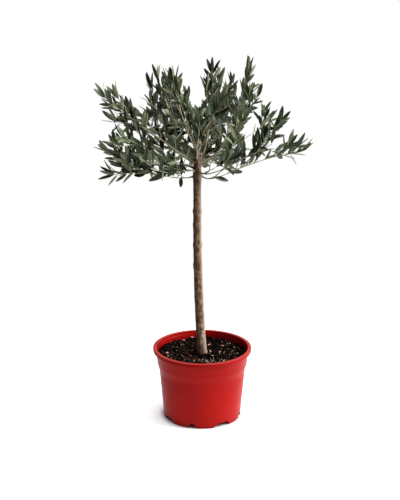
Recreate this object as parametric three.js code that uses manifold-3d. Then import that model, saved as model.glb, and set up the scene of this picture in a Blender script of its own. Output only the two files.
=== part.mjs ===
// A young olive grown as a small standard tree in a round nursery pot.
// Millimetres, +Z up. The origin is the middle of the pot's underside, and the front of the tree faces -Y.
// A heading is an angle about the pot's axis, in degrees: 0 is +X (right), 90 is the back, 270 is the front.
import * as THREE from "three";
import { ConvexGeometry } from "three/addons/geometries/ConvexGeometry.js";
import { mergeVertices } from "three/addons/utils/BufferGeometryUtils.js";
import Module from "manifold-3d";

const wasm = await Module();
wasm.setup();

// Gap between neighbouring pieces, and the fineness of a fused piece's mesh
const CLEARANCE = 0.3;
const SHORTEST_EDGE = 0.002;
const ROUNDING = 4;

// Pot
const POT_HEIGHT = 138.6;
const POT_SIDES = 36;
const POT_WALL = 1.6;
const FOOT_RADIUS = 74.5;
const STEP_LOW = 98;
const STEP_HIGH = 106;
const WALL_RADIUS = 83.2;
const COLLAR_RADIUS = 87;
const COLLAR_TOP_RADIUS = 89.2;
const LEDGE_HEIGHT = 133;
const RIM_RADIUS = 95;
const RIM_DEPTH = 6.8;
const RIM_EDGE = 1.6;
const RIM_INNER_RADIUS = 88.1;
const LEDGE_RADIUS = 87;
const PAD_RADIUS = 42;
const PAD_SLOPE = 3;
const FLOOR_HEIGHT = 9;

// Foot notches: one wide and one narrow in each quarter turn
const NOTCH_QUARTER = 90;
const WIDE_NOTCH = { heading: 302, width: 31, height: 8 };
const NARROW_NOTCH = { heading: 256, width: 13, height: 8.5 };
const NOTCH_CORNER = 3;
const NOTCH_CORNER_STEPS = 2;
const NOTCH_DEPTH = 12;

// Drain holes in the raised ring of the floor
const DRAIN_HOLES = 8;
const DRAIN_RADIUS = 4.5;
const DRAIN_CIRCLE = 59;
const DRAIN_SIDES = 8;
const DRAIN_BORE = 4 * POT_WALL;

// Soil
const SOIL_HEIGHT = 124;
const SOIL_GAP = 0.8;
const SOIL_EDGE_RISE = 1.6;
const SOIL_LUMP = 1.5;
const SOIL_FLAT_RADIUS = 16;
const SOIL_SIDES = 24;
const SOIL_RINGS = [30, 46, 62, 75];
const SOIL_SEED = 5;

// Trunk
const TRUNK_FOOT = SOIL_HEIGHT + CLEARANCE;
const FORK_HEIGHT = 479;
const LEADER_TIP = 546;
const TRUNK_LEAN = -9.2;
const LEAN_HEIGHT = 344;
const LEADER_KINK = -3;
const TRUNK_RADIUS = 8.9;
const FORK_RADIUS = 7.5;
const LEADER_RADIUS = 4.6;
const LEADER_TIP_RADIUS = 2.6;
const FORK_TAPER = 6;
const FLARE = 2.2;
const FLARE_HEIGHT = 9;
const TRUNK_SIDES = 10;
const TRUNK_RINGS = 28;

// Old scars that ring the trunk where its side shoots were cut
const SCARS = [
  { height: 181, out: 0.9, spread: 5 },
  { height: 240, out: 0.5, spread: 5 },
  { height: 301, out: 0.8, spread: 6 },
  { height: 342, out: 1.1, spread: 5 },
  { height: 379, out: 0.6, spread: 5 },
  { height: 408, out: 1.2, spread: 5 },
];

// Boughs, stems and twigs
const BOUGH_SEAT = FORK_RADIUS / 2;
const BOUGH_RADIUS = 2.9;
const BOUGH_SIDES = 5;
const BOUGH_RINGS = 3;
const STEM_SIDES = 3;
const STEM_RINGS = 4;
const STEM_RADIUS = 1.9;
const SHOOT_RADIUS = 1.4;
const TWIG_TIP_RADIUS = 0.7;
const BARE_SHARE = 0.17;

// Leaves
const LEAF_LENGTH = 39;
const LEAF_WIDTH_SHARE = 0.31;
const LEAF_THICKNESS = 1.1;
const LEAF_WIDEST = 0.45;
const LEAF_SUNK = [0.2, 0.5, 0.35];
const LEAF_LIFT = 0.28;
const LEAF_LEAST = 0.82;
const LEAF_GROWTH = 0.34;
const GROWTH_LEAD = 0.25;
const TIP_GROWTH = 0.13;
const BASE_SPACING = 29;
const TIP_SPACING = 14;
const BASE_ANGLE = 62;
const TIP_ANGLE = 27;
const FIRST_PAIR = 11;
const LAST_PAIR = 0.95;
const TIP_SEAT = 0.98;
const TIP_LEAF_ANGLE = 0.12;
const ANGLE_SPREAD = 22;
const AROUND_SPREAD = 0.7;
const TURN_SPREAD = 0.5;
const TILT_SPREAD = 1.1;
const LEAF_SEEDS = 10;

// Each bough leaves the trunk at a height and a side of it, and runs on as the stem of its mass of foliage to
// a tip with its own heading, reach from the axis and height. Its bend is a share of the way out and a rise
// above its foot. Its side shoots leave it at a share of its run.
const BOUGHS = [
  {
    name: "low_left", foot: 476, side: 193, heading: 193, reach: 164, height: 480, out: 0.6, rise: 3,
    shoots: [
      { from: 0.32, heading: 207, reach: 150, height: 512, out: 0.5, rise: 8 },
      { from: 0.5, heading: 183, reach: 150, height: 505, out: 0.5, rise: 6 },
    ],
  },
  {
    name: "left", foot: 487, side: 170, heading: 172, reach: 178, height: 516, out: 0.54, rise: 5,
    shoots: [
      { from: 0.22, heading: 220, reach: 180, height: 564, out: 0.5, rise: 44 },
      { from: 0.45, heading: 160, reach: 150, height: 556, out: 0.5, rise: 16 },
    ],
  },
  {
    name: "upper_left", foot: 497, side: 285, heading: 201, reach: 178, height: 624, out: 0.62, rise: 72,
    shoots: [
      { from: 0.3, heading: 192, reach: 80, height: 650, out: 0.25, rise: 30 },
      { from: 0.45, heading: 159, reach: 110, height: 604, out: 0.1, rise: 30 },
    ],
  },
  {
    name: "top_left", foot: 513, side: 320, heading: 217, reach: 66, height: 646, out: 0.5, rise: 60,
    shoots: [
      { from: 0.45, heading: 250, reach: 72, height: 622, out: 0.5, rise: 20 },
      { from: 0.3, heading: 160, reach: 62, height: 618, out: 0.6, rise: 40 },
    ],
  },
  {
    name: "top_centre", foot: 505, side: 20, heading: 23, reach: 26, height: 660, out: 0.9, rise: 20,
    shoots: [
      { from: 0.6, heading: 300, reach: 22, height: 636, out: 0.5, rise: 36 },
      { from: 0.5, heading: 50, reach: 68, height: 636, out: 0.8, rise: 22 },
    ],
  },
  {
    name: "right", foot: 492, side: 350, heading: 20, reach: 86, height: 660, out: 0.67, rise: 24,
    shoots: [
      { from: 0.62, heading: 349, reach: 104, height: 626, out: 0.5, rise: 22 },
      { from: 0.36, heading: 300, reach: 136, height: 594, out: 0.48, rise: 36 },
    ],
  },
  {
    name: "low_right", foot: 480, side: 0, heading: 0, reach: 180, height: 524, out: 0.4, rise: -8,
    shoots: [
      { from: 0.5, heading: 326, reach: 160, height: 586, out: 0.4, rise: 40 },
      { from: 0.58, heading: 15, reach: 120, height: 584, out: 0.8, rise: 12 },
    ],
  },
  {
    name: "back_right", foot: 498, side: 55, heading: 44, reach: 176, height: 556, out: 0.55, rise: 18,
    shoots: [
      { from: 0.4, heading: 56, reach: 150, height: 604, out: 0.4, rise: 40 },
      { from: 0.3, heading: 28, reach: 156, height: 506, out: 0.6, rise: 4 },
    ],
  },
  {
    name: "back", foot: 484, side: 92, heading: 92, reach: 182, height: 528, out: 0.5, rise: 2,
    shoots: [
      { from: 0.36, heading: 78, reach: 148, height: 578, out: 0.5, rise: 40 },
      { from: 0.4, heading: 112, reach: 160, height: 498, out: 0.5, rise: 0 },
      { from: 0.3, heading: 70, reach: 152, height: 504, out: 0.5, rise: 4 },
    ],
  },
  {
    name: "upper_back", foot: 512, side: 110, heading: 88, reach: 92, height: 642, out: 0.7, rise: 34,
    shoots: [
      { from: 0.4, heading: 110, reach: 124, height: 606, out: 0.5, rise: 24 },
      { from: 0.3, heading: 66, reach: 118, height: 612, out: 0.6, rise: 30 },
    ],
  },
  {
    name: "back_left", foot: 501, side: 135, heading: 133, reach: 176, height: 572, out: 0.56, rise: 22,
    shoots: [
      { from: 0.36, heading: 124, reach: 130, height: 622, out: 0.4, rise: 44 },
      { from: 0.3, heading: 146, reach: 156, height: 524, out: 0.6, rise: 8 },
    ],
  },
  {
    name: "front", foot: 506, side: 262, heading: 268, reach: 142, height: 606, out: 0.55, rise: 40,
    shoots: [
      { from: 0.4, heading: 292, reach: 96, height: 628, out: 0.4, rise: 40 },
      { from: 0.3, heading: 245, reach: 100, height: 640, out: 0.5, rise: 50 },
    ],
  },
  {
    name: "front_left", foot: 482, side: 232, heading: 236, reach: 176, height: 524, out: 0.5, rise: 8,
    shoots: [
      { from: 0.4, heading: 252, reach: 150, height: 566, out: 0.4, rise: 32 },
      { from: 0.3, heading: 222, reach: 130, height: 520, out: 0.5, rise: 10 },
    ],
  },
  {
    name: "front_right", foot: 484, side: 312, heading: 314, reach: 172, height: 556, out: 0.5, rise: 8,
    shoots: [
      { from: 0.36, heading: 294, reach: 150, height: 576, out: 0.4, rise: 32 },
    ],
  },
];

// The leader's own foliage grows straight on from the trunk's tip.
const LEADER = {
  name: "leader", heading: 104, reach: 24, height: 598, out: 0.3, rise: 24,
  shoots: [
    { from: 0.1, heading: 320, reach: 46, height: 604, out: 0.6, rise: 24 },
    { from: 0.2, heading: 190, reach: 50, height: 602, out: 0.6, rise: 24 },
  ],
};

// Materials
const POT_PLASTIC = new THREE.MeshStandardMaterial({ color: 0xb0201c, roughness: 0.45, metalness: 0 });
const SOIL_EARTH = new THREE.MeshStandardMaterial({ color: 0x2a211c, roughness: 1, metalness: 0 });
const BARK = new THREE.MeshStandardMaterial({ color: 0x7d6652, roughness: 0.85, metalness: 0 });
const FOLIAGE = new THREE.MeshStandardMaterial({ color: 0x55684f, roughness: 0.6, metalness: 0 });

const UP = new THREE.Vector3(0, 0, 1);
const FULL_TURN = 2 * Math.PI;

function radians(degrees) {
  return THREE.MathUtils.degToRad(degrees);
}

function mix(from, to, share) {
  return from + (to - from) * share;
}

function polar(heading, reach, height) {
  return new THREE.Vector3(
    reach * Math.cos(radians(heading)),
    reach * Math.sin(radians(heading)),
    height,
  );
}

// A repeatable stream of numbers between 0 and 1.
function dice(seed) {
  const modulus = 2147483647;
  let state = (seed * 104729) % modulus;
  return () => {
    state = (state * 48271) % modulus;
    return state / modulus;
  };
}

// A closed geometry as a solid; triangles that the merging closes up are dropped.
function solidOf(geometry) {
  geometry.deleteAttribute("normal");
  geometry.deleteAttribute("uv");
  const merged = mergeVertices(geometry);
  const corners = [];
  for (let i = 0; i < merged.index.count; i += 3) {
    const [a, b, c] = merged.index.array.slice(i, i + 3);
    if (a !== b && b !== c && c !== a) corners.push(a, b, c);
  }
  return new wasm.Manifold(new wasm.Mesh({
    numProp: 3,
    vertProperties: new Float32Array(merged.attributes.position.array),
    triVerts: new Uint32Array(corners),
  }));
}

// The number of a solid's edges that are very short or, once rounded, shared by other than two faces.
function weakEdges(solid) {
  const { vertProperties, triVerts } = solid.getMesh();
  const corner = (i) => new THREE.Vector3().fromArray(vertProperties, 3 * i);
  const place = (i) => corner(i).toArray().map((value) => value.toFixed(ROUNDING)).join(" ");
  const edges = new Map();
  for (let i = 0; i < triVerts.length; i += 3) {
    for (const [a, b] of [[0, 1], [1, 2], [2, 0]]) {
      const [from, to] = [triVerts[i + a], triVerts[i + b]];
      const key = [place(from), place(to)].sort().join();
      const length = corner(from).distanceTo(corner(to));
      edges.set(key, { length, faces: (edges.get(key)?.faces ?? 0) + 1 });
    }
  }
  return [...edges.values()].filter(({ length, faces }) => length < SHORTEST_EDGE || faces !== 2).length;
}

function meshOf(name, solid, material) {
  const { vertProperties, triVerts } = solid.getMesh();
  const geometry = new THREE.BufferGeometry();
  geometry.setAttribute("position", new THREE.BufferAttribute(vertProperties, 3));
  geometry.setIndex(new THREE.BufferAttribute(triVerts, 1));
  const mesh = new THREE.Mesh(geometry, material);
  mesh.name = name;
  return mesh;
}

function lathe(profile, sides) {
  const outline = profile.map(([radius, height]) => new THREE.Vector2(radius, height));
  return new THREE.LatheGeometry(outline, sides).rotateX(Math.PI / 2);
}

// A limb of round section. placeAt gives its centre, radius and cross directions at a share of its run.
function limb(sides, rings, placeAt) {
  const geometry = new THREE.CylinderGeometry(1, 1, 1, sides, rings);
  const position = geometry.attributes.position;
  for (let i = 0; i < position.count; i += 1) {
    const { centre, radius, across, over } = placeAt(position.getY(i) + 0.5);
    const spot = centre.clone()
      .addScaledVector(across, radius * position.getX(i))
      .addScaledVector(over, radius * position.getZ(i));
    position.setXYZ(i, spot.x, spot.y, spot.z);
  }
  return solidOf(geometry);
}

// The outside of the wall from foot to collar, as radius and height.
const OUTER_WALL = [
  [FOOT_RADIUS, 0],
  [WALL_RADIUS, STEP_LOW],
  [COLLAR_RADIUS, STEP_HIGH],
];

function potProfile() {
  const rimBottom = POT_HEIGHT - RIM_DEPTH;
  const inside = OUTER_WALL.map(([radius, height]) => [radius - POT_WALL, height]);
  const skirtAtFloor = mix(FOOT_RADIUS, WALL_RADIUS, FLOOR_HEIGHT / STEP_LOW) - POT_WALL;
  const floorTop = FLOOR_HEIGHT + POT_WALL;
  return [
    [0, 0],
    [PAD_RADIUS, 0],
    [PAD_RADIUS + PAD_SLOPE, FLOOR_HEIGHT],
    [skirtAtFloor, FLOOR_HEIGHT],
    inside[0],
    ...OUTER_WALL,
    [COLLAR_TOP_RADIUS, rimBottom],
    [RIM_RADIUS - RIM_EDGE / 2, rimBottom],
    [RIM_RADIUS, rimBottom + RIM_EDGE],
    [RIM_RADIUS, POT_HEIGHT - RIM_EDGE],
    [RIM_RADIUS - RIM_EDGE, POT_HEIGHT],
    [RIM_INNER_RADIUS + RIM_EDGE, POT_HEIGHT],
    [RIM_INNER_RADIUS, POT_HEIGHT - RIM_EDGE],
    [RIM_INNER_RADIUS, LEDGE_HEIGHT],
    [LEDGE_RADIUS, LEDGE_HEIGHT],
    inside[2],
    inside[1],
    [skirtAtFloor, floorTop],
    [PAD_RADIUS + PAD_SLOPE - POT_WALL, floorTop],
    [PAD_RADIUS - POT_WALL, POT_WALL],
    [0, POT_WALL],
  ];
}

// A round-topped block that cuts one notch through the skirt, standing on the floor plane.
function notchCutter({ heading, width, height }) {
  const half = width / 2;
  const shape = new THREE.Shape();
  shape.moveTo(-half, -height);
  shape.lineTo(half, -height);
  shape.lineTo(half, height - NOTCH_CORNER);
  shape.absarc(half - NOTCH_CORNER, height - NOTCH_CORNER, NOTCH_CORNER, 0, Math.PI / 2);
  shape.absarc(-half + NOTCH_CORNER, height - NOTCH_CORNER, NOTCH_CORNER, Math.PI / 2, Math.PI);
  shape.closePath();
  const block = new THREE.ExtrudeGeometry(shape, {
    depth: NOTCH_DEPTH,
    bevelEnabled: false,
    curveSegments: NOTCH_CORNER_STEPS,
  });
  block.rotateX(Math.PI / 2).rotateZ(Math.PI / 2);
  block.translate(FOOT_RADIUS - NOTCH_DEPTH / 2, 0, 0);
  return solidOf(block.rotateZ(radians(heading)));
}

function drainCutter(heading) {
  const bore = new THREE.CylinderGeometry(DRAIN_RADIUS, DRAIN_RADIUS, DRAIN_BORE, DRAIN_SIDES);
  bore.rotateX(Math.PI / 2).translate(DRAIN_CIRCLE, 0, FLOOR_HEIGHT);
  return solidOf(bore.rotateZ(radians(heading)));
}

function pot() {
  let solid = solidOf(lathe(potProfile(), POT_SIDES));
  for (let turn = 0; turn < 360; turn += NOTCH_QUARTER) {
    for (const notch of [WIDE_NOTCH, NARROW_NOTCH]) {
      solid = solid.subtract(notchCutter({ ...notch, heading: notch.heading + turn }));
    }
  }
  for (let i = 0; i < DRAIN_HOLES; i += 1) {
    solid = solid.subtract(drainCutter((i * 360) / DRAIN_HOLES));
  }
  return solid;
}

// Soil fills the pot to just under its ledge, flat round the trunk and lumpy beyond.
function soil() {
  const gap = POT_WALL + SOIL_GAP;
  const floor = FLOOR_HEIGHT + gap;
  const wallAt = (height) => mix(FOOT_RADIUS, WALL_RADIUS, height / STEP_LOW) - gap;
  const insideStep = COLLAR_RADIUS - POT_WALL;
  const edge = SOIL_HEIGHT + SOIL_EDGE_RISE;
  const insideEdge = mix(insideStep, LEDGE_RADIUS, (edge - STEP_HIGH) / (LEDGE_HEIGHT - STEP_HIGH));
  const geometry = lathe([
    [0, gap],
    [PAD_RADIUS - gap, gap],
    [PAD_RADIUS + PAD_SLOPE - gap, floor],
    [wallAt(floor), floor],
    [WALL_RADIUS - gap, STEP_LOW],
    [insideStep - SOIL_GAP - CLEARANCE, STEP_HIGH],
    [insideEdge - SOIL_GAP, edge],
    ...SOIL_RINGS.toReversed().map((radius) => [radius, SOIL_HEIGHT]),
    [SOIL_FLAT_RADIUS, SOIL_HEIGHT],
    [0, SOIL_HEIGHT],
  ], SOIL_SIDES);
  const roll = dice(SOIL_SEED);
  const lumps = new Map();
  const position = geometry.attributes.position;
  for (let i = 0; i < position.count; i += 1) {
    const radius = Math.hypot(position.getX(i), position.getY(i));
    const isLumpy = position.getZ(i) > SOIL_HEIGHT - 1 && radius > SOIL_FLAT_RADIUS + 1;
    if (!isLumpy) continue;
    const place = `${Math.round(position.getX(i))} ${Math.round(position.getY(i))}`;
    if (!lumps.has(place)) lumps.set(place, (2 * roll() - 1) * SOIL_LUMP);
    position.setZ(i, position.getZ(i) + lumps.get(place));
  }
  return solidOf(geometry);
}

// The trunk's centre leans to the left as it rises, then stands straight to the fork; the leader kinks back.
function trunkCentre(height) {
  const lean = Math.min((height - TRUNK_FOOT) / (LEAN_HEIGHT - TRUNK_FOOT), 1);
  const kink = Math.max((height - FORK_HEIGHT) / (LEADER_TIP - FORK_HEIGHT), 0);
  return new THREE.Vector3(TRUNK_LEAN * (1 - (1 - lean) ** 2) + LEADER_KINK * kink ** 2, 0, height);
}

function trunkRadius(height) {
  const above = height - TRUNK_FOOT;
  let radius = mix(TRUNK_RADIUS, FORK_RADIUS, above / (FORK_HEIGHT - TRUNK_FOOT));
  if (height > FORK_HEIGHT) {
    const climb = (height - FORK_HEIGHT) / (LEADER_TIP - FORK_HEIGHT);
    radius = Math.max(mix(LEADER_RADIUS, LEADER_TIP_RADIUS, climb), FORK_RADIUS - FORK_TAPER * climb);
  }
  radius += FLARE * Math.exp(-above / FLARE_HEIGHT);
  for (const scar of SCARS) {
    radius += scar.out * Math.exp(-(((height - scar.height) / scar.spread) ** 2));
  }
  return radius;
}

function trunk(swell) {
  return limb(TRUNK_SIDES, TRUNK_RINGS, (share) => {
    const height = mix(TRUNK_FOOT, LEADER_TIP, share);
    return {
      centre: trunkCentre(height),
      radius: trunkRadius(height) + swell,
      across: new THREE.Vector3(1, 0, 0),
      over: new THREE.Vector3(0, -1, 0),
    };
  });
}

// The run of a bough or shoot from its foot to its tip, in one upright plane.
function runFrom(foot, { heading, reach, height, out, rise }, start = 0) {
  const tip = polar(heading, reach, height);
  const bend = new THREE.Vector3(mix(foot.x, tip.x, out), mix(foot.y, tip.y, out), foot.z + rise);
  const curve = new THREE.QuadraticBezierCurve3(foot, bend, tip);
  const level = new THREE.Vector3(foot.y - tip.y, tip.x - foot.x, 0).normalize();
  return { curve, level, start };
}

// The share of a run that a length takes up at a share of it.
function shareOf({ curve }, t, length) {
  const first = curve.v1.clone().sub(curve.v0).multiplyScalar(2 * (1 - t));
  const second = curve.v2.clone().sub(curve.v1).multiplyScalar(2 * t);
  return length / first.add(second).length();
}

// A limb along part of a run, between two shares of it.
function runLimb({ curve, level }, start, end, sides, rings, startRadius, endRadius) {
  return limb(sides, rings, (share) => {
    const t = mix(start, end, share);
    return {
      centre: curve.getPoint(t),
      radius: mix(startRadius, endRadius, share),
      across: level,
      over: new THREE.Vector3().crossVectors(level, curve.getTangent(t)),
    };
  });
}

// The middle of a twig's wood at a share of its run. It is straight between the twig's rings.
function woodAt({ curve, start }, t) {
  const ring = Math.min(Math.floor(((t - start) / (1 - start)) * STEM_RINGS), STEM_RINGS - 1);
  const [low, high] = [ring, ring + 1].map((k) => mix(start, 1, k / STEM_RINGS));
  return curve.getPoint(low).lerp(curve.getPoint(high), (t - low) / (high - low));
}

// The middle of a twig, its direction and the two directions across it, at a share of its run.
function frameAt(run, t) {
  const along = run.curve.getTangent(t);
  const rising = new THREE.Vector3().crossVectors(along, run.level);
  return { centre: woodAt(run, t), along, level: run.level, rising };
}

// Opposite pairs of leaves along a run. Each pair is turned a quarter from the last, and they stand closer
// together and steeper towards the tip.
function leavesAlong(run, seed) {
  const roll = dice(seed);
  const leaves = [];
  const first = run.start + shareOf(run, run.start, FIRST_PAIR);
  let turn = roll() * FULL_TURN;
  let t = first;
  while (t < LAST_PAIR) {
    const youth = (t - first) / (1 - first);
    const frame = frameAt(run, t);
    for (const side of [0, Math.PI]) {
      const around = turn + side + (roll() - 0.5) * AROUND_SPREAD;
      const angle = radians(mix(BASE_ANGLE, TIP_ANGLE, youth) + (roll() - 0.5) * ANGLE_SPREAD);
      const vigour = Math.sin(Math.PI * Math.min(youth + GROWTH_LEAD, 1)) * Math.sqrt(roll());
      const size = LEAF_LENGTH * (LEAF_LEAST + LEAF_GROWTH * vigour);
      const tilt = (roll() - 0.5) * TILT_SPREAD;
      leaves.push(leafAt(frame, around, angle, size, tilt));
    }
    turn += Math.PI / 2 + (roll() - 0.5) * TURN_SPREAD;
    t += shareOf(run, t, mix(BASE_SPACING, TIP_SPACING, youth));
  }
  const size = LEAF_LENGTH * (LEAF_LEAST + TIP_GROWTH * roll());
  leaves.push(leafAt(frameAt(run, TIP_SEAT), turn, TIP_LEAF_ANGLE, size, 0));
  return leaves;
}

// One leaf's root, axis and blade directions. Leaves turn up a little towards the light.
function leafAt(frame, around, angle, size, tilt) {
  const outward = frame.level.clone().multiplyScalar(Math.cos(around))
    .addScaledVector(frame.rising, Math.sin(around));
  const axis = frame.along.clone().multiplyScalar(Math.cos(angle))
    .addScaledVector(outward, Math.sin(angle))
    .addScaledVector(UP, LEAF_LIFT)
    .normalize();
  const inner = frame.along.clone().multiplyScalar(Math.sin(angle))
    .addScaledVector(outward, -Math.cos(angle));
  const width = new THREE.Vector3().crossVectors(inner, axis).normalize().applyAxisAngle(axis, tilt);
  const face = new THREE.Vector3().crossVectors(axis, width);
  return { root: frame.centre, axis, width, face, size };
}

// A pointed blade with a flat back and a ridge, from a leaf's root to its tip. It starts sunk in the twig,
// and swell makes it larger all round.
function leafSolid({ root, axis, width, face, size }, sunk, swell) {
  const spot = (along, aside, above) => root.clone()
    .addScaledVector(axis, along)
    .addScaledVector(width, aside)
    .addScaledVector(face, above);
  const middle = size * LEAF_WIDEST;
  const half = (size * LEAF_WIDTH_SHARE) / 2 + 2 * swell;
  const back = -2 * swell;
  return solidOf(new ConvexGeometry([
    spot(-sunk, 0, back),
    spot(middle, half, back),
    spot(size + 2 * swell, 0, back),
    spot(middle, -half, back),
    spot(middle, 0, LEAF_THICKNESS + 2 * swell),
  ]));
}

function boxesMeet(a, b) {
  return [0, 1, 2].every((i) => a.min[i] < b.max[i] && b.min[i] < a.max[i]);
}

// Solids that foliage keeps clear of, each with the mass that it belongs to.
const taken = [];

function take(owner, solid) {
  taken.push({ owner, solid, box: solid.boundingBox() });
}

function isClear(owner, solid) {
  const box = solid.boundingBox();
  return !taken.some((other) =>
    other.owner !== owner && boxesMeet(box, other.box) && !solid.intersect(other.solid).isEmpty());
}

// The runs of one mass: its stem, which starts where the bough ends, and the side shoots that leave it.
function runsOf(bough, foot, start) {
  const stem = runFrom(foot, bough, start);
  return [stem, ...bough.shoots.map((shoot) => runFrom(woodAt(stem, shoot.from), shoot))];
}

function twigsOf(runs) {
  return runs.map((run, i) => {
    const radius = i === 0 ? STEM_RADIUS : SHOOT_RADIUS;
    return runLimb(run, run.start, 1, STEM_SIDES, STEM_RINGS, radius, TWIG_TIP_RADIUS);
  });
}

const trunkSolid = trunk(0);
const trunkKeepOut = trunk(CLEARANCE);
take("trunk", trunkSolid);

// Every bough and stem is placed before the first leaf.
const masses = [];
const boughMeshes = [];
for (const bough of BOUGHS) {
  const foot = trunkCentre(bough.foot).add(polar(bough.side, BOUGH_SEAT, 0));
  const run = runFrom(foot, bough);
  const limbSolid = runLimb(run, 0, BARE_SHARE, BOUGH_SIDES, BOUGH_RINGS, BOUGH_RADIUS, STEM_RADIUS)
    .subtract(trunkKeepOut);
  take(`bough_${bough.name}`, limbSolid);
  boughMeshes.push(meshOf(`bough_${bough.name}`, limbSolid, BARK));
  const runs = runsOf(bough, foot, BARE_SHARE + shareOf(run, BARE_SHARE, CLEARANCE));
  masses.push({ name: bough.name, runs, twigs: twigsOf(runs) });
}
const leaderRuns = runsOf(LEADER, trunkCentre(LEADER_TIP - LEADER_TIP_RADIUS), 0);
const leaderTwigs = twigsOf(leaderRuns).map((twig) => twig.subtract(trunkKeepOut));
masses.push({ name: LEADER.name, runs: leaderRuns, twigs: leaderTwigs });
for (const { name, twigs } of masses) {
  twigs.forEach((twig) => take(name, twig));
}

function foliage({ name, runs, twigs }, index) {
  let solid = twigs.reduce((whole, twig) => whole.add(twig));
  const allowed = weakEdges(solid);
  const leaves = runs.flatMap((run, i) => leavesAlong(run, LEAF_SEEDS * index + i + 1));
  for (const leaf of leaves) {
    if (!isClear(name, leafSolid(leaf, 0, CLEARANCE))) continue;
    const blades = LEAF_SUNK.map((sunk) => leafSolid(leaf, sunk, 0));
    const blade = blades.find((choice) => weakEdges(solid.add(choice)) <= allowed);
    if (!blade) continue;
    take(name, blade);
    solid = solid.add(blade);
  }
  return solid;
}

const group = new THREE.Group();
group.add(meshOf("pot", pot(), POT_PLASTIC));
group.add(meshOf("soil", soil(), SOIL_EARTH));
group.add(meshOf("trunk", trunkSolid, BARK));
group.add(...boughMeshes);
masses.forEach((mass, index) => {
  group.add(meshOf(`foliage_${mass.name}`, foliage(mass, index), FOLIAGE));
});

export default group;
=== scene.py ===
# The finished surfaces of a young olive that is grown as a small standard tree in a red round nursery pot.
# Lengths are millimetres, and MM turns them into metres. +Z is up and the front of the tree faces -Y.
# A heading is an angle about the pot's axis, in degrees: 0 is +X (right), 90 is the back, 270 is the front.
import math

import bmesh
import bpy
import numpy as np
from mathutils import Matrix, Vector, noise


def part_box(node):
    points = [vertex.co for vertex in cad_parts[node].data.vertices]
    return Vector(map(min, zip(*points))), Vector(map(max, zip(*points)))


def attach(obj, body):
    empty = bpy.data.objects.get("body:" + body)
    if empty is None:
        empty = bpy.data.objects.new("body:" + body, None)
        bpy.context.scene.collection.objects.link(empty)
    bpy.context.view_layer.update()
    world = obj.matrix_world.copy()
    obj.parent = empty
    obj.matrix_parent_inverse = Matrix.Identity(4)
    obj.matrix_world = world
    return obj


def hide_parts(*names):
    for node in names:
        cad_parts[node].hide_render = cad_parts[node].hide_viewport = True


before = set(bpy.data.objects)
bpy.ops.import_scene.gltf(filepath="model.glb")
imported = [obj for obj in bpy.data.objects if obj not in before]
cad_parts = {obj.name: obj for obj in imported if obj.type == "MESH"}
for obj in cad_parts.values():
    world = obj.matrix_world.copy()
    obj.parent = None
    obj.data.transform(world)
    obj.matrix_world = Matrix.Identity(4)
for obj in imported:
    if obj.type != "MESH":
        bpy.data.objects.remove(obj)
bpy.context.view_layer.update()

MM = 0.001
UP = np.array([0.0, 0.0, 1.0])
FULL_TURN = 2 * math.pi

# Pot
POT_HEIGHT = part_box("pot")[1].z / MM
RIM_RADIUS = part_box("pot")[1].x / MM
POT_WALL = 1.6
FOOT_RADIUS = 74.5
STEP_LOW = 95
STEP_HIGH = 108
WALL_RADIUS = 83.2
COLLAR_RADIUS = 87
COLLAR_TOP_RADIUS = 89.2
LEDGE_HEIGHT = 133
LEDGE_RADIUS = 87
LEDGE_SLOPE = 1.1
RIM_DEPTH = 6.8
RIM_INNER_RADIUS = 88.1
PAD_RADIUS = 42
PAD_SLOPE = 3
FLOOR_HEIGHT = 9
POT_COLUMNS = 240
POT_CREASE = 50

# Grooves round the wall: the heights of their lower edge, their bottom and their upper edge
WALL_LINE = (89.55, 90, 90.45)
COLLAR_LINE = (110.55, 111, 111.45)
MOULD_LINE_DEPTH = 0.09
RIM_LINE = (POT_HEIGHT - 5.4, POT_HEIGHT - 3.15, POT_HEIGHT - 2.7)
RIM_LINE_DEPTH = 0.75
RIM_LINE_FILLET = 0.3
GROOVE_FILLET = 0.2

# Foot notches: one wide and one narrow in each quarter turn, with a slope at either end
QUARTER = 90
NOTCHES = (
    {"heading": 299.3, "width": 37, "height": 8, "left_slope": 14, "right_slope": 4.7},
    {"heading": 256, "width": 15.6, "height": 8.5, "left_slope": 1.8, "right_slope": 5.9},
)
NOTCH_COLUMN = 0.5

# Drain holes in the raised ring of the floor
DRAIN_HOLES = 8
DRAIN_RADIUS = 4.5
DRAIN_CIRCLE = 59
DRAIN_SIDES = 32

# Soil
SOIL_HEIGHT = 124
SOIL_GAP = 0.8
SOIL_EDGE_RISE = 1.6
SOIL_SEED = 5
SOIL_SECTORS = 320
SOIL_RING_STEP = 1.2
SOIL_REACH = 82
GRAINS = 2400
GRAIN_BATCH = 1500
CRUMBS = 1300
CRUMB_SIZES = (0.9, 4.2)
FOOT_CRUMBS = 45
FOOT_CRUMB_REACH = (10.5, 15)
CHIPS = 180
CHIP_SIZES = (0.4, 2.0)
CHIP_SHAPE = (1.5, 0.7, 1)
FIBRES = 60
FIBRE_SIZES = (0.18, 0.38)
FIBRE_STEPS = (1.0, 2.3)
FRONT_FIBRES = 12
FRONT_HEADINGS = (252, 304)
FRONT_REACH = (34, 50)
FRONT_SCALE = 1.6
LUMP_BUMPS = 0.12
LUMP_FLATS = 5
LUMP_FLAT_REACH = 0.62
LUMP_WIDTHS = (0.55, 0.95)
LUMP_LEAN = 0.35

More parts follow.
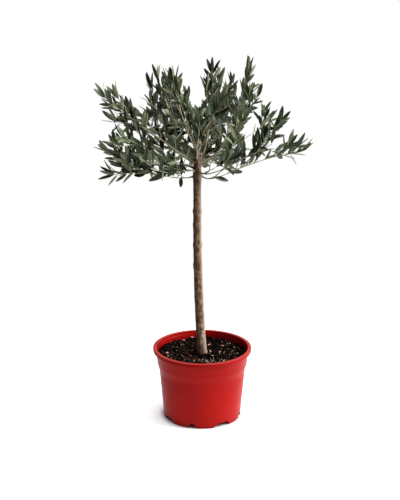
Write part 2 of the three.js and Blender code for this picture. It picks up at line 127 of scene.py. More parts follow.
# The chips that stand out: heading, distance from the axis and size
BOLD_CHIPS = (
    (183, 68, 2.2), (195, 68, 1.8), (145, 60, 2.0), (160, 53, 1.8), (118, 73, 2.6), (103, 83, 2.4),
    (173, 29, 1.7), (206, 24, 1.8), (19, 17, 2.2), (353, 14, 1.6), (73, 46, 2.0), (31, 35, 1.8),
    (12, 35, 1.5), (45, 54, 2.4), (4, 55, 1.8), (353, 67, 2.0), (315, 58, 1.7), (302, 41, 1.6),
    (323, 23, 1.5), (250, 46, 2.4), (258, 36, 1.6), (226, 51, 1.9), (282, 49, 1.6), (282, 37, 1.4),
)
BOLD_SCALE = 1.65

# Trunk
TRUNK_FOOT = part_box("trunk")[0].z / MM
LEADER_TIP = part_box("trunk")[1].z / MM
FORK_HEIGHT = 479
TRUNK_LEAN = -9.2
LEAN_HEIGHT = 385
LEADER_KINK = -3
TRUNK_RADIUS = 8.9
FORK_RADIUS = 7.2
LEADER_RADIUS = 4.6
LEADER_TIP_RADIUS = 2.6
FORK_TAPER = 6
FORK_SWELL = 1.2
FORK_SPREAD = 17
FLARE = 1.6
FLARE_HEIGHT = 9

# Old scars that ring the trunk where its side shoots were cut: height, how far they stand out, and spread
RINGS = ((181, 0.9, 5), (240, 0.5, 5), (301, 0.8, 6), (342, 1.1, 5), (379, 0.6, 5), (408, 1.2, 5))

# Knots left by cut shoots, a rim of callus round a hollow: heading, height, size, how far they stand out
KNOTS = (
    (215, 407, 3.4, 1.1), (330, 405, 3.0, 0.9), (195, 383, 2.8, 0.7), (268, 355, 2.4, 0.5),
    (345, 344, 3.2, 1.0), (262, 323, 2.4, 0.5), (190, 304, 3.0, 0.8), (280, 244, 3.2, 0.8),
    (285, 162, 2.6, 0.6), (60, 392, 3.2, 0.9), (110, 318, 3.0, 0.8), (75, 226, 3.0, 0.8),
    (140, 170, 2.6, 0.6),
)
WOOD_VOXEL = 0.75
TRUNK_SIDES = 48
TRUNK_STEP = 1.5
TRUNK_SUNK = 3
LIMB_SIDES = 20
LIMB_STEP = 2
COLLAR = 1.4
COLLAR_SHARE = 0.03
FISSURES = 0.26
FISSURE_GRAIN = (2.4, 2.4, 10.8)
SWELLS = 0.25
SWELL_GRAIN = (7, 7, 12)
LIMB_RELIEF = 0.3

# Boughs, stems and twigs
BOUGH_RADIUS = 2.5
STEM_RADIUS = 1.7
SHOOT_RADIUS = 1.25
SPRIG_RADIUS = 0.75
TWIG_TIP_RADIUS = 0.5
BARE_SHARE = 0.17
WOOD_SHARE = 0.34
WOOD_OVERLAP = 4
TWIG_SIDES = 7
TWIG_STEP = 3.5
NODE_SWELL = 0.22
NODE_SPREAD = 1.3
SWAY = 2.6

# Leaves. On a level shoot they stand out further, by LEVEL_ANGLE.
LEAF_LENGTH = 36
LEAF_WIDTH_SHARE = 0.262
LEAF_THICKNESS = 0.45
LEAF_LIFT = 0.6
LEAF_LEAST = 0.78
LEAF_GROWTH = 0.4
TIP_LEAF_SIZES = (0.86, 0.98)
BASE_SPACING = 20
TIP_SPACING = 5.6
BASE_ANGLE = 62
TIP_ANGLE = 27
LEVEL_ANGLE = 16
FIRST_PAIR = 9
LAST_PAIR = 0.96
TIP_SEAT = 0.985
TIP_LEAF_ANGLES = (0.2, 0.4, 0.26, 0.48)
ANGLE_SPREAD = 22
AROUND_SPREAD = 0.7
TURN_SPREAD = 0.5
TILT_SPREAD = 2.4
YOUNG_BREADTH = 0.84
LOW_MARGIN = (8, 8, 1)
HIGH_MARGIN = (8, 8, 8)
WOOD_MARGIN = 1.2

# A leaf's outline: the share of its length, and the half width there as a share of its widest
LEAF_OUTLINE = (
    (0.0, 0.07), (0.08, 0.1), (0.19, 0.56), (0.33, 0.89),
    (0.5, 1.0), (0.67, 0.92), (0.82, 0.67), (0.94, 0.33),
)
FOLD = 0.3
RECURVE = (-0.07, 0.13)
LEAF_CREASE = 28
CLEAR_SHARES = (0.2, 0.4, 0.6, 0.8, 1)

# Sprigs: the short side twigs, in the forks of leaf pairs
SPRIG_LONGEST = 58
SPRIG_SHORTEST = 24
SPRIG_SPACING = 34
SPRIG_FIRST = 0.28
SPRIG_LAST = 0.8
SPRIG_ANGLE = 42
SPRIG_LIFT = 0.3
SPRIG_SAG = 0.07
SPRIG_SWAY = 0.6
SPRIG_TURN = 2.4
SPRIG_SHARE = 0.72
SPRIG_LEAF_SHARE = 0.86
SPRIG_LEAF_SPACINGS = (13, 8)

# Each bough leaves the trunk at a height and a side of it, and runs on as the stem of its mass of foliage to
# a tip with its own heading, reach from the axis and height. Its bend is a share of the way out and a rise
# above its foot. Each side shoot has the share of the stem's run that it leaves at, and then those five.
BOUGHS = (
    ("low_left", 476, 193, (193, 164, 484, 0.6, 3), (
        (0.32, 207, 150, 512, 0.5, 8), (0.5, 183, 150, 505, 0.5, 6), (0.62, 188, 144, 494, 0.4, 4),
        (0.12, 215, 60, 487, 0.5, 6),
    )),
    ("left", 487, 170, (172, 175, 513, 0.54, 5), (
        (0.22, 220, 180, 564, 0.5, 44), (0.45, 160, 150, 556, 0.5, 16), (0.6, 186, 158, 534, 0.4, 8),
    )),
    ("upper_left", 497, 285, (201, 182, 627, 0.62, 72), (
        (0.3, 193, 81, 651, 0.25, 30), (0.45, 158, 98, 578, 0.1, 24), (0.7, 204, 160, 624, 0.3, 14),
        (0.5, 189, 134, 598, 0.4, 20), (0.72, 195, 160, 602, 0.5, 4), (0.5, 200, 160, 582, 0.5, 14),
        (0.35, 193, 92, 637, 0.25, 26),
    )),
    ("top_left", 513, 320, (219, 62, 651, 0.72, 60), (
        (0.45, 250, 72, 606, 0.5, 20), (0.3, 160, 62, 618, 0.6, 40), (0.6, 213, 68, 646, 0.5, 16),
    )),
    ("top_centre", 505, 20, (29, 21, 662, 0.9, 20), (
        (0.6, 300, 16, 630, 0.5, 36), (0.5, 42, 78, 615, 0.8, 22), (0.4, 40, 10, 632, 0.5, 20),
    )),
    ("right", 492, 350, (19, 88, 664, 0.67, 24), (
        (0.62, 349, 100, 620, 0.5, 22), (0.36, 300, 136, 594, 0.48, 36), (0.7, 24, 92, 648, 0.6, 16),
    )),
    ("low_right", 481, 0, (0, 184, 520, 0.4, -10), (
        (0.5, 329, 157, 585, 0.4, 40), (0.58, 14, 115, 595, 0.8, 12), (0.45, 350, 108, 545, 0.5, 16),
        (0.12, 20, 62, 502, 0.5, 6), (0.74, 0, 154, 525, 0.3, 8), (0.86, 353, 172, 531, 0.3, 6),
    )),
    ("back_right", 498, 55, (44, 176, 556, 0.55, 18), (
        (0.4, 56, 150, 604, 0.4, 40), (0.3, 28, 156, 506, 0.6, 4),
    )),
    ("back", 484, 92, (92, 182, 528, 0.5, 2), (
        (0.36, 78, 148, 578, 0.5, 40), (0.4, 112, 160, 498, 0.5, 0), (0.4, 106, 140, 524, 0.5, 10),
        (0.3, 70, 152, 504, 0.5, 4), (0.4, 66, 90, 484, 0.5, 0), (0.3, 50, 60, 488, 0.5, 0),
        (0.3, 128, 62, 474, 0.5, 0), (0.3, 120, 56, 500, 0.5, 4), (0.2, 72, 60, 530, 0.5, 24),
        (0.2, 104, 66, 536, 0.5, 24),
    )),
    ("upper_back", 512, 110, (72, 96, 638, 0.7, 34), (
        (0.4, 110, 124, 606, 0.5, 24), (0.3, 66, 118, 612, 0.6, 30), (0.15, 50, 52, 574, 0.5, 20),
        (0.15, 135, 52, 562, 0.5, 20),
    )),
    ("back_left", 501, 135, (133, 176, 572, 0.56, 22), (
        (0.36, 124, 130, 622, 0.4, 44), (0.3, 146, 156, 524, 0.6, 8), (0.3, 150, 98, 524, 0.5, 6),
        (0.2, 132, 70, 528, 0.5, 10),
    )),
    ("front", 506, 262, (268, 142, 606, 0.55, 40), (
        (0.4, 292, 96, 628, 0.4, 40), (0.3, 245, 100, 640, 0.5, 50),
    )),
    ("front_left", 482, 232, (236, 176, 530, 0.5, 8), (
        (0.4, 252, 150, 566, 0.4, 32), (0.3, 222, 130, 526, 0.5, 10), (0.4, 260, 112, 552, 0.5, 20),
        (0.12, 215, 66, 498, 0.5, 4), (0.06, 228, 54, 490, 0.5, 6), (0.3, 222, 104, 544, 0.5, 20),
    )),
    ("front_right", 484, 312, (314, 172, 556, 0.5, 8), (
        (0.36, 294, 150, 576, 0.4, 32), (0.1, 300, 44, 522, 0.5, 8), (0.06, 304, 44, 498, 0.5, 6),
    )),
)

# The leader's own foliage grows straight on from the trunk's tip.
LEADER = ("leader", LEADER_TIP - LEADER_TIP_RADIUS, None, (104, 24, 590, 0.3, 24), (
    (0.1, 320, 46, 598, 0.6, 24), (0.2, 190, 50, 596, 0.6, 24),
))

# Stems that bear no leaves for longer than the rest, up to a share of their run
BARE_STEMS = {"front": 0.5, "upper_left": 0.3, "top_left": 0.46, "top_centre": 0.4, "right": 0.26}

# Low boughs dip and rise again as they leave the trunk, and are thinner than the rest
DIPS = {"low_right": 11, "low_left": 5, "front_right": 5, "front_left": -4, "left": -4}
DIP_PACE = 0.65
SLIMNESS = {"low_right": 0.62, "low_left": 0.62, "front_left": 0.72, "front_right": 0.72, "left": 0.8}

# How pale the leaves of some runs are, by their number in their mass: 0 is the stem. The rest are mixed.
TONES = {
    "low_left": {4: 0.1}, "left": {1: 0.8}, "upper_left": {0: 0.3, 1: 0.3}, "top_left": {0: 0.35},
    "top_centre": {0: 0.1, 1: 0.2}, "right": {0: 0.15, 2: 1.5}, "low_right": {1: 0.2},
    "front": {2: 0.9}, "front_left": {2: 1.0, 5: 0.1}, "front_right": {1: 1.4, 3: 0.1},
}

# Leaves are painted darker the nearer they grow to the crown's middle: a painted shade for the crown's
# inside.
INNER_REACH = 110
INNER_PAINTED_SHADE = 0.42

# Places that the photograph shows sky through: across and up on the upright plane through the pot's axis, as
# the camera sees them, and half their width and height. No leaf grows there, and a bare twig may cross them.
OPENINGS = (
    (-122, 634, 12, 18), (-145, 650, 12, 12), (-130, 648, 16, 18), (-10, 630, 8, 24), (-180, 560, 12, 12),
    (-100, 631, 5, 5), (-118, 612, 9, 6), (114, 622, 8, 7), (-118, 546, 6, 5), (-112, 452, 50, 12),
    (94, 578, 9, 5), (86, 556, 6, 10), (84, 532, 6, 5), (133, 533, 6, 6), (158, 564, 9, 12),
    (186, 570, 24, 12), (125, 496, 30, 7), (98, 484, 22, 12), (27, 480, 16, 5.5), (84, 492, 14, 5),
    (64, 668, 6, 14),
)

# Stems that the photograph shows in front of the leaves, and which shares of their run show
SEEN_LIMBS = {
    "upper_left": (0.05, 0.45), "top_left": (0.04, 0.66), "top_centre": (0.06, 0.5), "right": (0.04, 0.4),
}
LIMB_GAP = 6

# The share of leaves that grow on the masses that the photograph shows sky through
LEAF_SHARES = {"front_right": 0.72, "back_right": 0.75, "back_left": 0.72, "front_left": 0.75, "leader": 0.8}

# The share of sprigs that grow on the masses that stand in front of others
SPRIG_SHARES = {
    "front_right": 0.4, "back_right": 0.5, "front_left": 0.45, "back_left": 0.5, "low_right": 0.55,
}

# Colours, as linear red, green and blue
POT_RED = (0.32, 0.004, 0.0022)
POT_DEEP_RED = (0.283, 0.003, 0.0018)
# A painted shade for the foot's bottom edge
FOOT_SHADE_RED = (0.08, 0.0008, 0.0005)
# A painted highlight for the top of the rim's lip
LIP_HIGHLIGHT_RED = (0.43, 0.028, 0.022)
SOIL_COLOURS = ((0.0012, 0.0006, 0.0005), (0.004, 0.002, 0.0014), (0.03, 0.016, 0.011))
SOIL_PLACES = (0.36, 0.52, 0.68)
CRUMB_COLOURS = (
    (0.0012, 0.0005, 0.0004), (0.0028, 0.0012, 0.0009), (0.01, 0.0045, 0.003),
    (0.011, 0.0085, 0.007), (0.055, 0.022, 0.013), (0.055, 0.027, 0.02),
)
CHIP_COLOURS = (
    (0.76, 0.49, 0.41), (0.55, 0.27, 0.2), (0.86, 0.68, 0.57), (0.34, 0.13, 0.055), (0.4, 0.21, 0.08),
)
FIBRE_COLOUR = (0.42, 0.27, 0.2)
BROWN_BARK = ((0.05, 0.024, 0.011), (0.135, 0.071, 0.032), (0.27, 0.168, 0.1))
BEIGE_BARK = ((0.13, 0.084, 0.046), (0.28, 0.193, 0.118), (0.46, 0.335, 0.23))
BARK_PLACES = (0.37, 0.5, 0.64)
GREEN_BARK = ((0.22, 0.195, 0.125), (0.43, 0.4, 0.28))
# A painted light for the trunk's right side
PAINTED_LIGHT_BARK = (0.46, 0.375, 0.315)
# Darker, redder bark just above the soil
SOIL_LINE_BARK = (0.11, 0.04, 0.024)
# Dark bark for small dark spots, and for the painted shade on the trunk's left side and under the fork
DARK_SPOT_AND_SHADE_BARK = (0.024, 0.014, 0.007)
UPPER_COLOURS = (
    (0.0065, 0.012, 0.0032), (0.0168, 0.031, 0.0118), (0.0455, 0.072, 0.032),
    (0.102, 0.136, 0.064), (0.21, 0.24, 0.128),
)
UNDER_COLOURS = ((0.125, 0.145, 0.085), (0.18, 0.196, 0.12), (0.25, 0.26, 0.168))
TWIG_COLOURS = ((0.27, 0.24, 0.155), (0.42, 0.39, 0.265), (0.37, 0.385, 0.235))

# Where the pot's red and the bark change, and where light and shade are painted on them: from one height,
# side or reach to another. A side is how far to the right of the trunk's axis a place is, and a reach how
# far from it.
FOOT_SHADE_HEIGHTS = (0.5, 3)
LIP_HIGHLIGHT_HEIGHTS = (POT_HEIGHT - 1.1, POT_HEIGHT - 0.4)
SOIL_LINE_HEIGHTS = (127, 146)
BEIGE_HEIGHTS = (172, 190)
FORK_SHADE_HEIGHTS = (440, 470)
LIMB_HEIGHTS = (450, 462)
# Painted light on the trunk's right side, then painted shade on its left side and under the fork, by side
PAINTED_LIGHT_SIDE = (2.5, 7.5)
PAINTED_SHADE_SIDE = (-7.5, 2.5)
FORK_SHADE_SIDE = (-1, 4.5)
LIMB_REACH = (8.5, 15)

# Studio
FLOOR_REACH = 520
FLOOR_SIDES = 96
FLOOR_WHITE = (0.9, 0.93, 0.93)
# The floor's painted shadow inside the pot's foot, and the painted glow that lightens the pot's shadow round
# it
FLOOR_SHADE = (0.06, 0.03, 0.03)
SHADE_REACH = (58, 77)
FLOOR_GLOWS = ((0, 0, 0), (0.45, 0.465, 0.465), (0.59, 0.61, 0.61))
GLOW_PLACES = (0, 0.4, 1)
GLOW_REACH = (74.5, 103)
LIGHT_SIDE = (0.95, 0.22, 0.45)
LIGHT_FALL = 2.5
DIM_SIDE = 0.03
BRIGHT_SIDE = 2.7
KEY_PLACE = (2.05, -0.4, 1.5)
KEY_AIM = (0, 0, 0.4)
KEY_SIZE = 0.6
KEY_POWER = 57
CAMERA_PLACE = (-0.0042, -1.9, 0.868)
CAMERA_PITCH = 15.75
CAMERA_LENS = 75.47


# Small sums

def mix(start, end, share):
    return start + (end - start) * share


def smooth(share):
    """An even curve from 0 to 1."""
    share = np.clip(share, 0, 1)
    return share * share * (3 - 2 * share)


def bell(distance, spread):
    return math.exp(-((distance / spread) ** 2))


def polar(heading, reach, height):
    turn = math.radians(heading)
    return np.array([reach * math.cos(turn), reach * math.sin(turn), height])


def unit(vector):
    return vector / np.linalg.norm(vector)


def dice(seed):
    """A repeatable stream of numbers between 0 and 1, the one that the CAD source uses."""
    modulus = 2147483647
    state = (seed * 104729) % modulus

    def roll():
        nonlocal state
        state = (state * 48271) % modulus
        return state / modulus

    return roll


# Meshes

def add_object(name, data):
    made = bpy.data.objects.new(name, data)
    bpy.context.scene.collection.objects.link(made)
    return made


def mesh_object(name, points, faces, materials, shades=None):
    mesh = bpy.data.meshes.new(name)
    mesh.from_pydata((np.asarray(points) * MM).tolist(), [], faces)
    for material in materials:
        mesh.materials.append(material)
    if shades is not None:
        mesh.polygons.foreach_set("material_index", shades)
    mesh.shade_smooth()
    return add_object(name, mesh)


class Bundle:
    """Many small shapes that are joined into one mesh. Each face has a shade, the number of its material."""

    def __init__(self):
        self.points = []
        self.faces = []
        self.shades = []
        self.count = 0

    def add(self, points, faces, shades):
        """Adds a shape, with one shade for all its faces or a list of them."""
        self.points.append(points)
        self.faces += [[corner + self.count for corner in face] for face in faces]
        self.shades += [shades] * len(faces) if isinstance(shades, int) else shades
        self.count += len(points)

    def build(self, name, materials):
        return mesh_object(name, np.concatenate(self.points), self.faces, materials, self.shades)


def applied(piece):
    """Bakes a piece's modifiers into its mesh."""
    bpy.context.view_layer.update()
    seen = piece.evaluated_get(bpy.context.evaluated_depsgraph_get())
    mesh = bpy.data.meshes.new_from_object(seen)
    piece.modifiers.clear()
    piece.data = mesh


def grid_faces(rows, columns):
    """Quads between neighbouring rows of points. Each row closes on itself."""
    faces = []
    for row in range(rows - 1):
        low, high = row * columns, (row + 1) * columns
        for column in range(columns):
            after = (column + 1) % columns
            faces.append((low + column, low + after, high + after, high + column))
    return faces


def lathe_faces(rows, columns):
    """The faces of a turned shape, whose last two points close its first and its last row."""
    faces = grid_faces(rows, columns)
    last, first_middle, last_middle = (rows - 1) * columns, rows * columns, rows * columns + 1
    for column in range(columns):
        after = (column + 1) % columns
        faces.append((first_middle, after, column))
        faces.append((last_middle, last + column, last + after))
    return faces


def tube(path, radii, sides):
    """A closed tube along a path of points: its points and faces."""
    path = np.asarray(path)
    tangents = np.gradient(path, axis=0)
    tangents /= np.linalg.norm(tangents, axis=1)[:, None]
    across = unit(np.cross(tangents[0], UP if abs(tangents[0][2]) < 0.9 else (1.0, 0.0, 0.0)))
    turns = np.arange(sides) * FULL_TURN / sides
    points = []
    for centre, along, radius in zip(path, tangents, radii):
        across = unit(across - along * np.dot(across, along))
        over = np.cross(along, across)
        ring = np.outer(np.cos(turns), across) + np.outer(np.sin(turns), over)
        points.append(centre + radius * ring)
    faces = grid_faces(len(path), sides)
    faces.append(tuple(reversed(range(sides))))
    faces.append(tuple(range((len(path) - 1) * sides, len(path) * sides)))
    return np.concatenate(points), faces


# Materials

def shader_of(material):
    return material.node_tree.nodes["Principled BSDF"]


def new_material(name, roughness, shine, colour=None):
    material = bpy.data.materials.new(name)
    material.use_nodes = True
    inputs = shader_of(material).inputs
    inputs["Roughness"].default_value = roughness
    inputs["Specular IOR Level"].default_value = shine
    if colour is not None:
        inputs["Base Color"].default_value = (*colour, 1)
    return material


def add_node(owner, kind, inputs, output=0, **settings):
    """One output of a new node in a material or world. Its inputs are plain values or nodes' outputs."""
    tree = owner.node_tree
    node = tree.nodes.new(kind)
    for name, value in settings.items():
        setattr(node, name, value)
    for name, value in inputs.items():
        socket = node.inputs[name]
        if isinstance(value, bpy.types.NodeSocket):
            tree.links.new(value, socket)
        else:
            socket.default_value = (*value, 1) if socket.type == "RGBA" else value
    return node.outputs[output]


def feed(material, name, value):
    """Links a node's output to an input of the material's shader."""
    material.node_tree.links.new(value, shader_of(material).inputs[name])


def place_of(material, upward=1):
    """The place on the object in millimetres, with its height multiplied."""
    spot = add_node(material, "ShaderNodeTexCoord", {}, "Object")
    scale = (1 / MM, 1 / MM, upward / MM)
    return add_node(material, "ShaderNodeVectorMath", {0: spot, 1: scale}, operation="MULTIPLY")


def math_of(owner, operation, first, second):
    return add_node(owner, "ShaderNodeMath", {0: first, 1: second}, operation=operation)


def height_of(material):
    return add_node(material, "ShaderNodeSeparateXYZ", {0: place_of(material)}, "Z")


def side_of(material):
    """How far to the right of the leaning trunk's axis a place is."""
    across = add_node(material, "ShaderNodeSeparateXYZ", {0: place_of(material)}, "X")
    lean = range_of(material, height_of(material), (TRUNK_FOOT, LEAN_HEIGHT), 0, -TRUNK_LEAN)
    return math_of(material, "ADD", across, lean)


def reach_of(material, across=0):
    """The level distance from an upright line that stands across from the pot's axis."""
    inputs = {0: place_of(material, 0), 1: (across, 0, 0)}
    return add_node(material, "ShaderNodeVectorMath", inputs, "Value", operation="DISTANCE")


def noise_of(material, size, detail=4, stretch=1):
    """Noise with grains of a size. It can be stretched upwards."""
    inputs = {"Vector": place_of(material, 1 / stretch), "Scale": 1 / size, "Detail": detail}
    return add_node(material, "ShaderNodeTexNoise", inputs)


def range_of(owner, value, span, start=0, end=1):
    """A value that goes from a start to an end as another one crosses a span."""
    inputs = {"Value": value, "From Min": span[0], "From Max": span[1], "To Min": start, "To Max": end}
    return add_node(owner, "ShaderNodeMapRange", inputs)


def ramp_of(material, factor, places, colours):
    """A colour ramp, with each colour at its place."""
    ramp = add_node(material, "ShaderNodeValToRGB", {"Fac": factor})
    elements = ramp.node.color_ramp.elements
    while len(elements) < len(places):
        elements.new(0.5)
    for element, place, colour in zip(elements, places, colours):
        element.position = place
        element.color = (*colour, 1)
    return ramp


def blend_of(material, factor, first, second):
    """A mix of two colours, each a node's output or a plain colour."""
    return add_node(material, "ShaderNodeMix", {0: factor, 6: first, 7: second}, 2, data_type="RGBA")


def add_bump(material, height, strength, depth):
    """Adds a relief, on top of any that the material already has."""
    inputs = {"Height": height, "Strength": strength, "Distance": depth * MM}
    normal = shader_of(material).inputs["Normal"]
    if normal.is_linked:
        inputs["Normal"] = normal.links[0].from_socket
    feed(material, "Normal", add_node(material, "ShaderNodeBump", inputs))


def pot_plastic():
    """Satin moulded plastic, cloudy red: a painted highlight on its thin lip, painted shade at its foot, and
    faint scuffs that change its shine.
    """
    made = new_material("pot_plastic", 0.38, 0.07)
    height = height_of(made)
    red = ramp_of(made, noise_of(made, 60, detail=3), (0.3, 0.7), (POT_DEEP_RED, POT_RED))
    # Painted shade: the red turns darker along the foot's bottom edge.
    red = blend_of(made, range_of(made, height, FOOT_SHADE_HEIGHTS, 0.7, 0), red, FOOT_SHADE_RED)
    # Painted highlight: the top of the lip is paler, as if it caught the light from above.
    feed(made, "Base Color", blend_of(made, range_of(made, height, LIP_HIGHLIGHT_HEIGHTS), red, LIP_HIGHLIGHT_RED))
    scuffs = noise_of(made, 4, detail=8, stretch=0.3)
    feed(made, "Roughness", range_of(made, scuffs, (0.35, 0.75), 0.34, 0.46))
    add_bump(made, noise_of(made, 1.2, detail=2), 0.08, 0.1)
    return made


def soil_earth():
    made = new_material("soil_earth", 0.92, 0.03)
    feed(made, "Base Color", ramp_of(made, noise_of(made, 4.5, detail=6), SOIL_PLACES, SOIL_COLOURS))
    add_bump(made, noise_of(made, 1.4, detail=6), 0.9, 0.7)
    return made


def plain_shades(name, colours, roughness, shine, grain, relief):
    """One material for each plain colour, with the same fine relief."""
    made = []
    for number, colour in enumerate(colours):
        material = new_material(f"{name}_{number}", roughness, shine, colour)
        add_bump(material, noise_of(material, grain, detail=3), relief, 0.2)
        made.append(material)
    return made


def bark():
    """Brown-grey bark: reddish at the soil, beige low down, browner above, pale olive on the boughs. Painted
    light on the trunk's right side, painted shade on its left side and under the fork.
    """
    made = new_material("bark", 0.68, 0.2)
    streaks = noise_of(made, 5, detail=8, stretch=1.7)
    patches = noise_of(made, 15, detail=5, stretch=1.5)
    height, side = height_of(made), side_of(made)
    brown = ramp_of(made, streaks, BARK_PLACES, BROWN_BARK)
    beige = ramp_of(made, streaks, BARK_PLACES, BEIGE_BARK)
    green = ramp_of(made, patches, (0.3, 0.7), GREEN_BARK)
    colour = blend_of(made, range_of(made, height, BEIGE_HEIGHTS), beige, brown)
    # The bark turns darker and redder just above the soil.
    colour = blend_of(made, range_of(made, height, SOIL_LINE_HEIGHTS), SOIL_LINE_BARK, colour)
    # Painted shade under the fork, on the trunk's left side, where the crown shades it
    under_fork_shade = range_of(made, height, FORK_SHADE_HEIGHTS)
    shaded = range_of(made, side, FORK_SHADE_SIDE, 0.5, 0)
    on_limbs = range_of(made, reach_of(made, TRUNK_LEAN), LIMB_REACH)
    above = range_of(made, height, LIMB_HEIGHTS)
    layers = (
        (range_of(made, patches, (0.52, 0.72), 0, 0.25), beige),
        (range_of(made, noise_of(made, 4.5, detail=3), (0.68, 0.75), 0, 0.55), DARK_SPOT_AND_SHADE_BARK),
        # Painted light: the trunk's right side turns paler.
        (range_of(made, side, PAINTED_LIGHT_SIDE, 0, 0.6), PAINTED_LIGHT_BARK),
        # Painted shade: the trunk's left side turns darker.
        (range_of(made, side, PAINTED_SHADE_SIDE, 0.42, 0), DARK_SPOT_AND_SHADE_BARK),
        # Painted shade under the fork.
        (math_of(made, "MULTIPLY", under_fork_shade, shaded), DARK_SPOT_AND_SHADE_BARK),
        (math_of(made, "MULTIPLY", on_limbs, above), green),
    )
    for share, tint in layers:
        colour = blend_of(made, share, colour, tint)
    feed(made, "Base Color", colour)
    add_bump(made, streaks, 0.5, 0.7)
    add_bump(made, noise_of(made, 1.1, detail=4, stretch=3), 0.4, 0.35)
    return made


# Pot

def rounded(corners, steps=4):
    """An outline of radius and height, with each corner cut back and rounded as its third value says."""
    outline = []
    for i, (radius, height, fillet) in enumerate(corners):
        here = np.array([radius, height], float)
        if not fillet:
            outline.append(here)
            continue
        before = unit(np.array(corners[i - 1][:2]) - here)
        after = unit(np.array(corners[(i + 1) % len(corners)][:2]) - here)
        for step in range(steps + 1):
            share = step / steps
            start = here + before * fillet * (1 - share)
            end = here + after * fillet * share
            outline.append(mix(start, end, share))
    return outline


def wall_radius(height):
    return mix(FOOT_RADIUS, WALL_RADIUS, height / STEP_LOW)


def collar_radius(height):
    return mix(COLLAR_RADIUS, COLLAR_TOP_RADIUS, (height - STEP_HIGH) / (POT_HEIGHT - RIM_DEPTH - STEP_HIGH))


def groove(radius_at, heights, depth, fillet=0):
    low, bottom, high = heights
    return [
        (radius_at(low), low, fillet),
        (radius_at(bottom) - depth, bottom, GROOVE_FILLET),
        (radius_at(high), high, fillet),
    ]


def pot_outline():
    """The pot's section, from the middle of its underside round the outside and back to its middle."""
    rim_bottom = POT_HEIGHT - RIM_DEPTH
    inside = wall_radius(FLOOR_HEIGHT) - POT_WALL
    floor_top = FLOOR_HEIGHT + POT_WALL
    return rounded([
        (PAD_RADIUS, 0, 1.2),
        (PAD_RADIUS + PAD_SLOPE, FLOOR_HEIGHT, 1.2),
        (inside, FLOOR_HEIGHT, 0.8),
        (FOOT_RADIUS - POT_WALL, 0, 0.4),
        (FOOT_RADIUS, 0, 0.5),
        (wall_radius(FLOOR_HEIGHT), FLOOR_HEIGHT, 0),
        *groove(wall_radius, WALL_LINE, MOULD_LINE_DEPTH),
        (WALL_RADIUS, STEP_LOW, 3),
        (COLLAR_RADIUS, STEP_HIGH, 3),
        *groove(collar_radius, COLLAR_LINE, MOULD_LINE_DEPTH),
        (COLLAR_TOP_RADIUS, rim_bottom, 0.9),
        (RIM_RADIUS, rim_bottom, 1.6),
        *groove(lambda height: RIM_RADIUS, RIM_LINE, RIM_LINE_DEPTH, RIM_LINE_FILLET),
        (RIM_RADIUS, POT_HEIGHT, 0.9),
        (RIM_INNER_RADIUS, POT_HEIGHT, 0.7),
        (RIM_INNER_RADIUS, LEDGE_HEIGHT + LEDGE_SLOPE, 0.4),
        (LEDGE_RADIUS, LEDGE_HEIGHT - LEDGE_SLOPE, 0.5),
        (COLLAR_RADIUS - POT_WALL, STEP_HIGH, 2.0),
        (WALL_RADIUS - POT_WALL, STEP_LOW, 2.0),
        (inside, floor_top, 1.6),
        (PAD_RADIUS + PAD_SLOPE - POT_WALL, floor_top, 1.2),
        (PAD_RADIUS - POT_WALL, POT_WALL, 1.2),
    ])


def foot_lift(heading):
    """How far the foot's edge stands clear of the floor at a heading."""
    lift = 0
    for notch in NOTCHES:
        off = (heading - notch["heading"] + QUARTER / 2) % QUARTER - QUARTER / 2
        arc = math.radians(off) * FOOT_RADIUS
        left = (arc + notch["width"] / 2) / notch["left_slope"]
        right = (notch["width"] / 2 - arc) / notch["right_slope"]
        lift = max(lift, notch["height"] * smooth(min(left, right, 1)))
    return lift


def pot_headings():
    """The headings of the pot's columns, closer together where the foot's edge rises."""
    headings = [i * 360 / POT_COLUMNS for i in range(POT_COLUMNS)]
    fine = [i * NOTCH_COLUMN for i in range(int(360 / NOTCH_COLUMN))]
    headings += [h for h in fine if foot_lift(h - NOTCH_COLUMN) != foot_lift(h + NOTCH_COLUMN)]
    return sorted(set(headings))


def pot_mesh():
    outline = pot_outline()
    headings = pot_headings()
    lifts = [foot_lift(heading) for heading in headings]
    slope = (WALL_RADIUS - FOOT_RADIUS) / STEP_LOW
    points = []
    for radius, height in outline:
        is_skirt = radius > PAD_RADIUS + 2 * PAD_SLOPE and height < FLOOR_HEIGHT
        for heading, lift in zip(headings, lifts):
            rise = lift * (1 - height / FLOOR_HEIGHT) if is_skirt else 0
            points.append(polar(heading, radius + rise * slope, height + rise))
    points += [polar(0, 0, 0), polar(0, 0, POT_WALL)]
    return points, lathe_faces(len(outline), len(headings))


def drain_cutter():
    """Eight posts where the floor's drain holes are."""
    cutter = Bundle()
    for hole in range(DRAIN_HOLES):
        low = polar(hole * 360 / DRAIN_HOLES, DRAIN_CIRCLE, FLOOR_HEIGHT - POT_WALL)
        high = low + UP * 3 * POT_WALL
        cutter.add(*tube([low, high], [DRAIN_RADIUS, DRAIN_RADIUS], DRAIN_SIDES), 0)
    return cutter.build("drain_cutter", [])


def make_pot():
    pot = mesh_object("nursery_pot", *pot_mesh(), [pot_plastic()])
    cutter = drain_cutter()
    cut = pot.modifiers.new("drain_holes", "BOOLEAN")
    cut.operation = "DIFFERENCE"
    cut.solver = "MANIFOLD"
    cut.object = cutter
    applied(pot)
    bpy.data.objects.remove(cutter)
    pot.data.shade_smooth()
    pot.data.set_sharp_from_angle(angle=math.radians(POT_CREASE))
    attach(pot, "root")
    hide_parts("pot")


# Soil

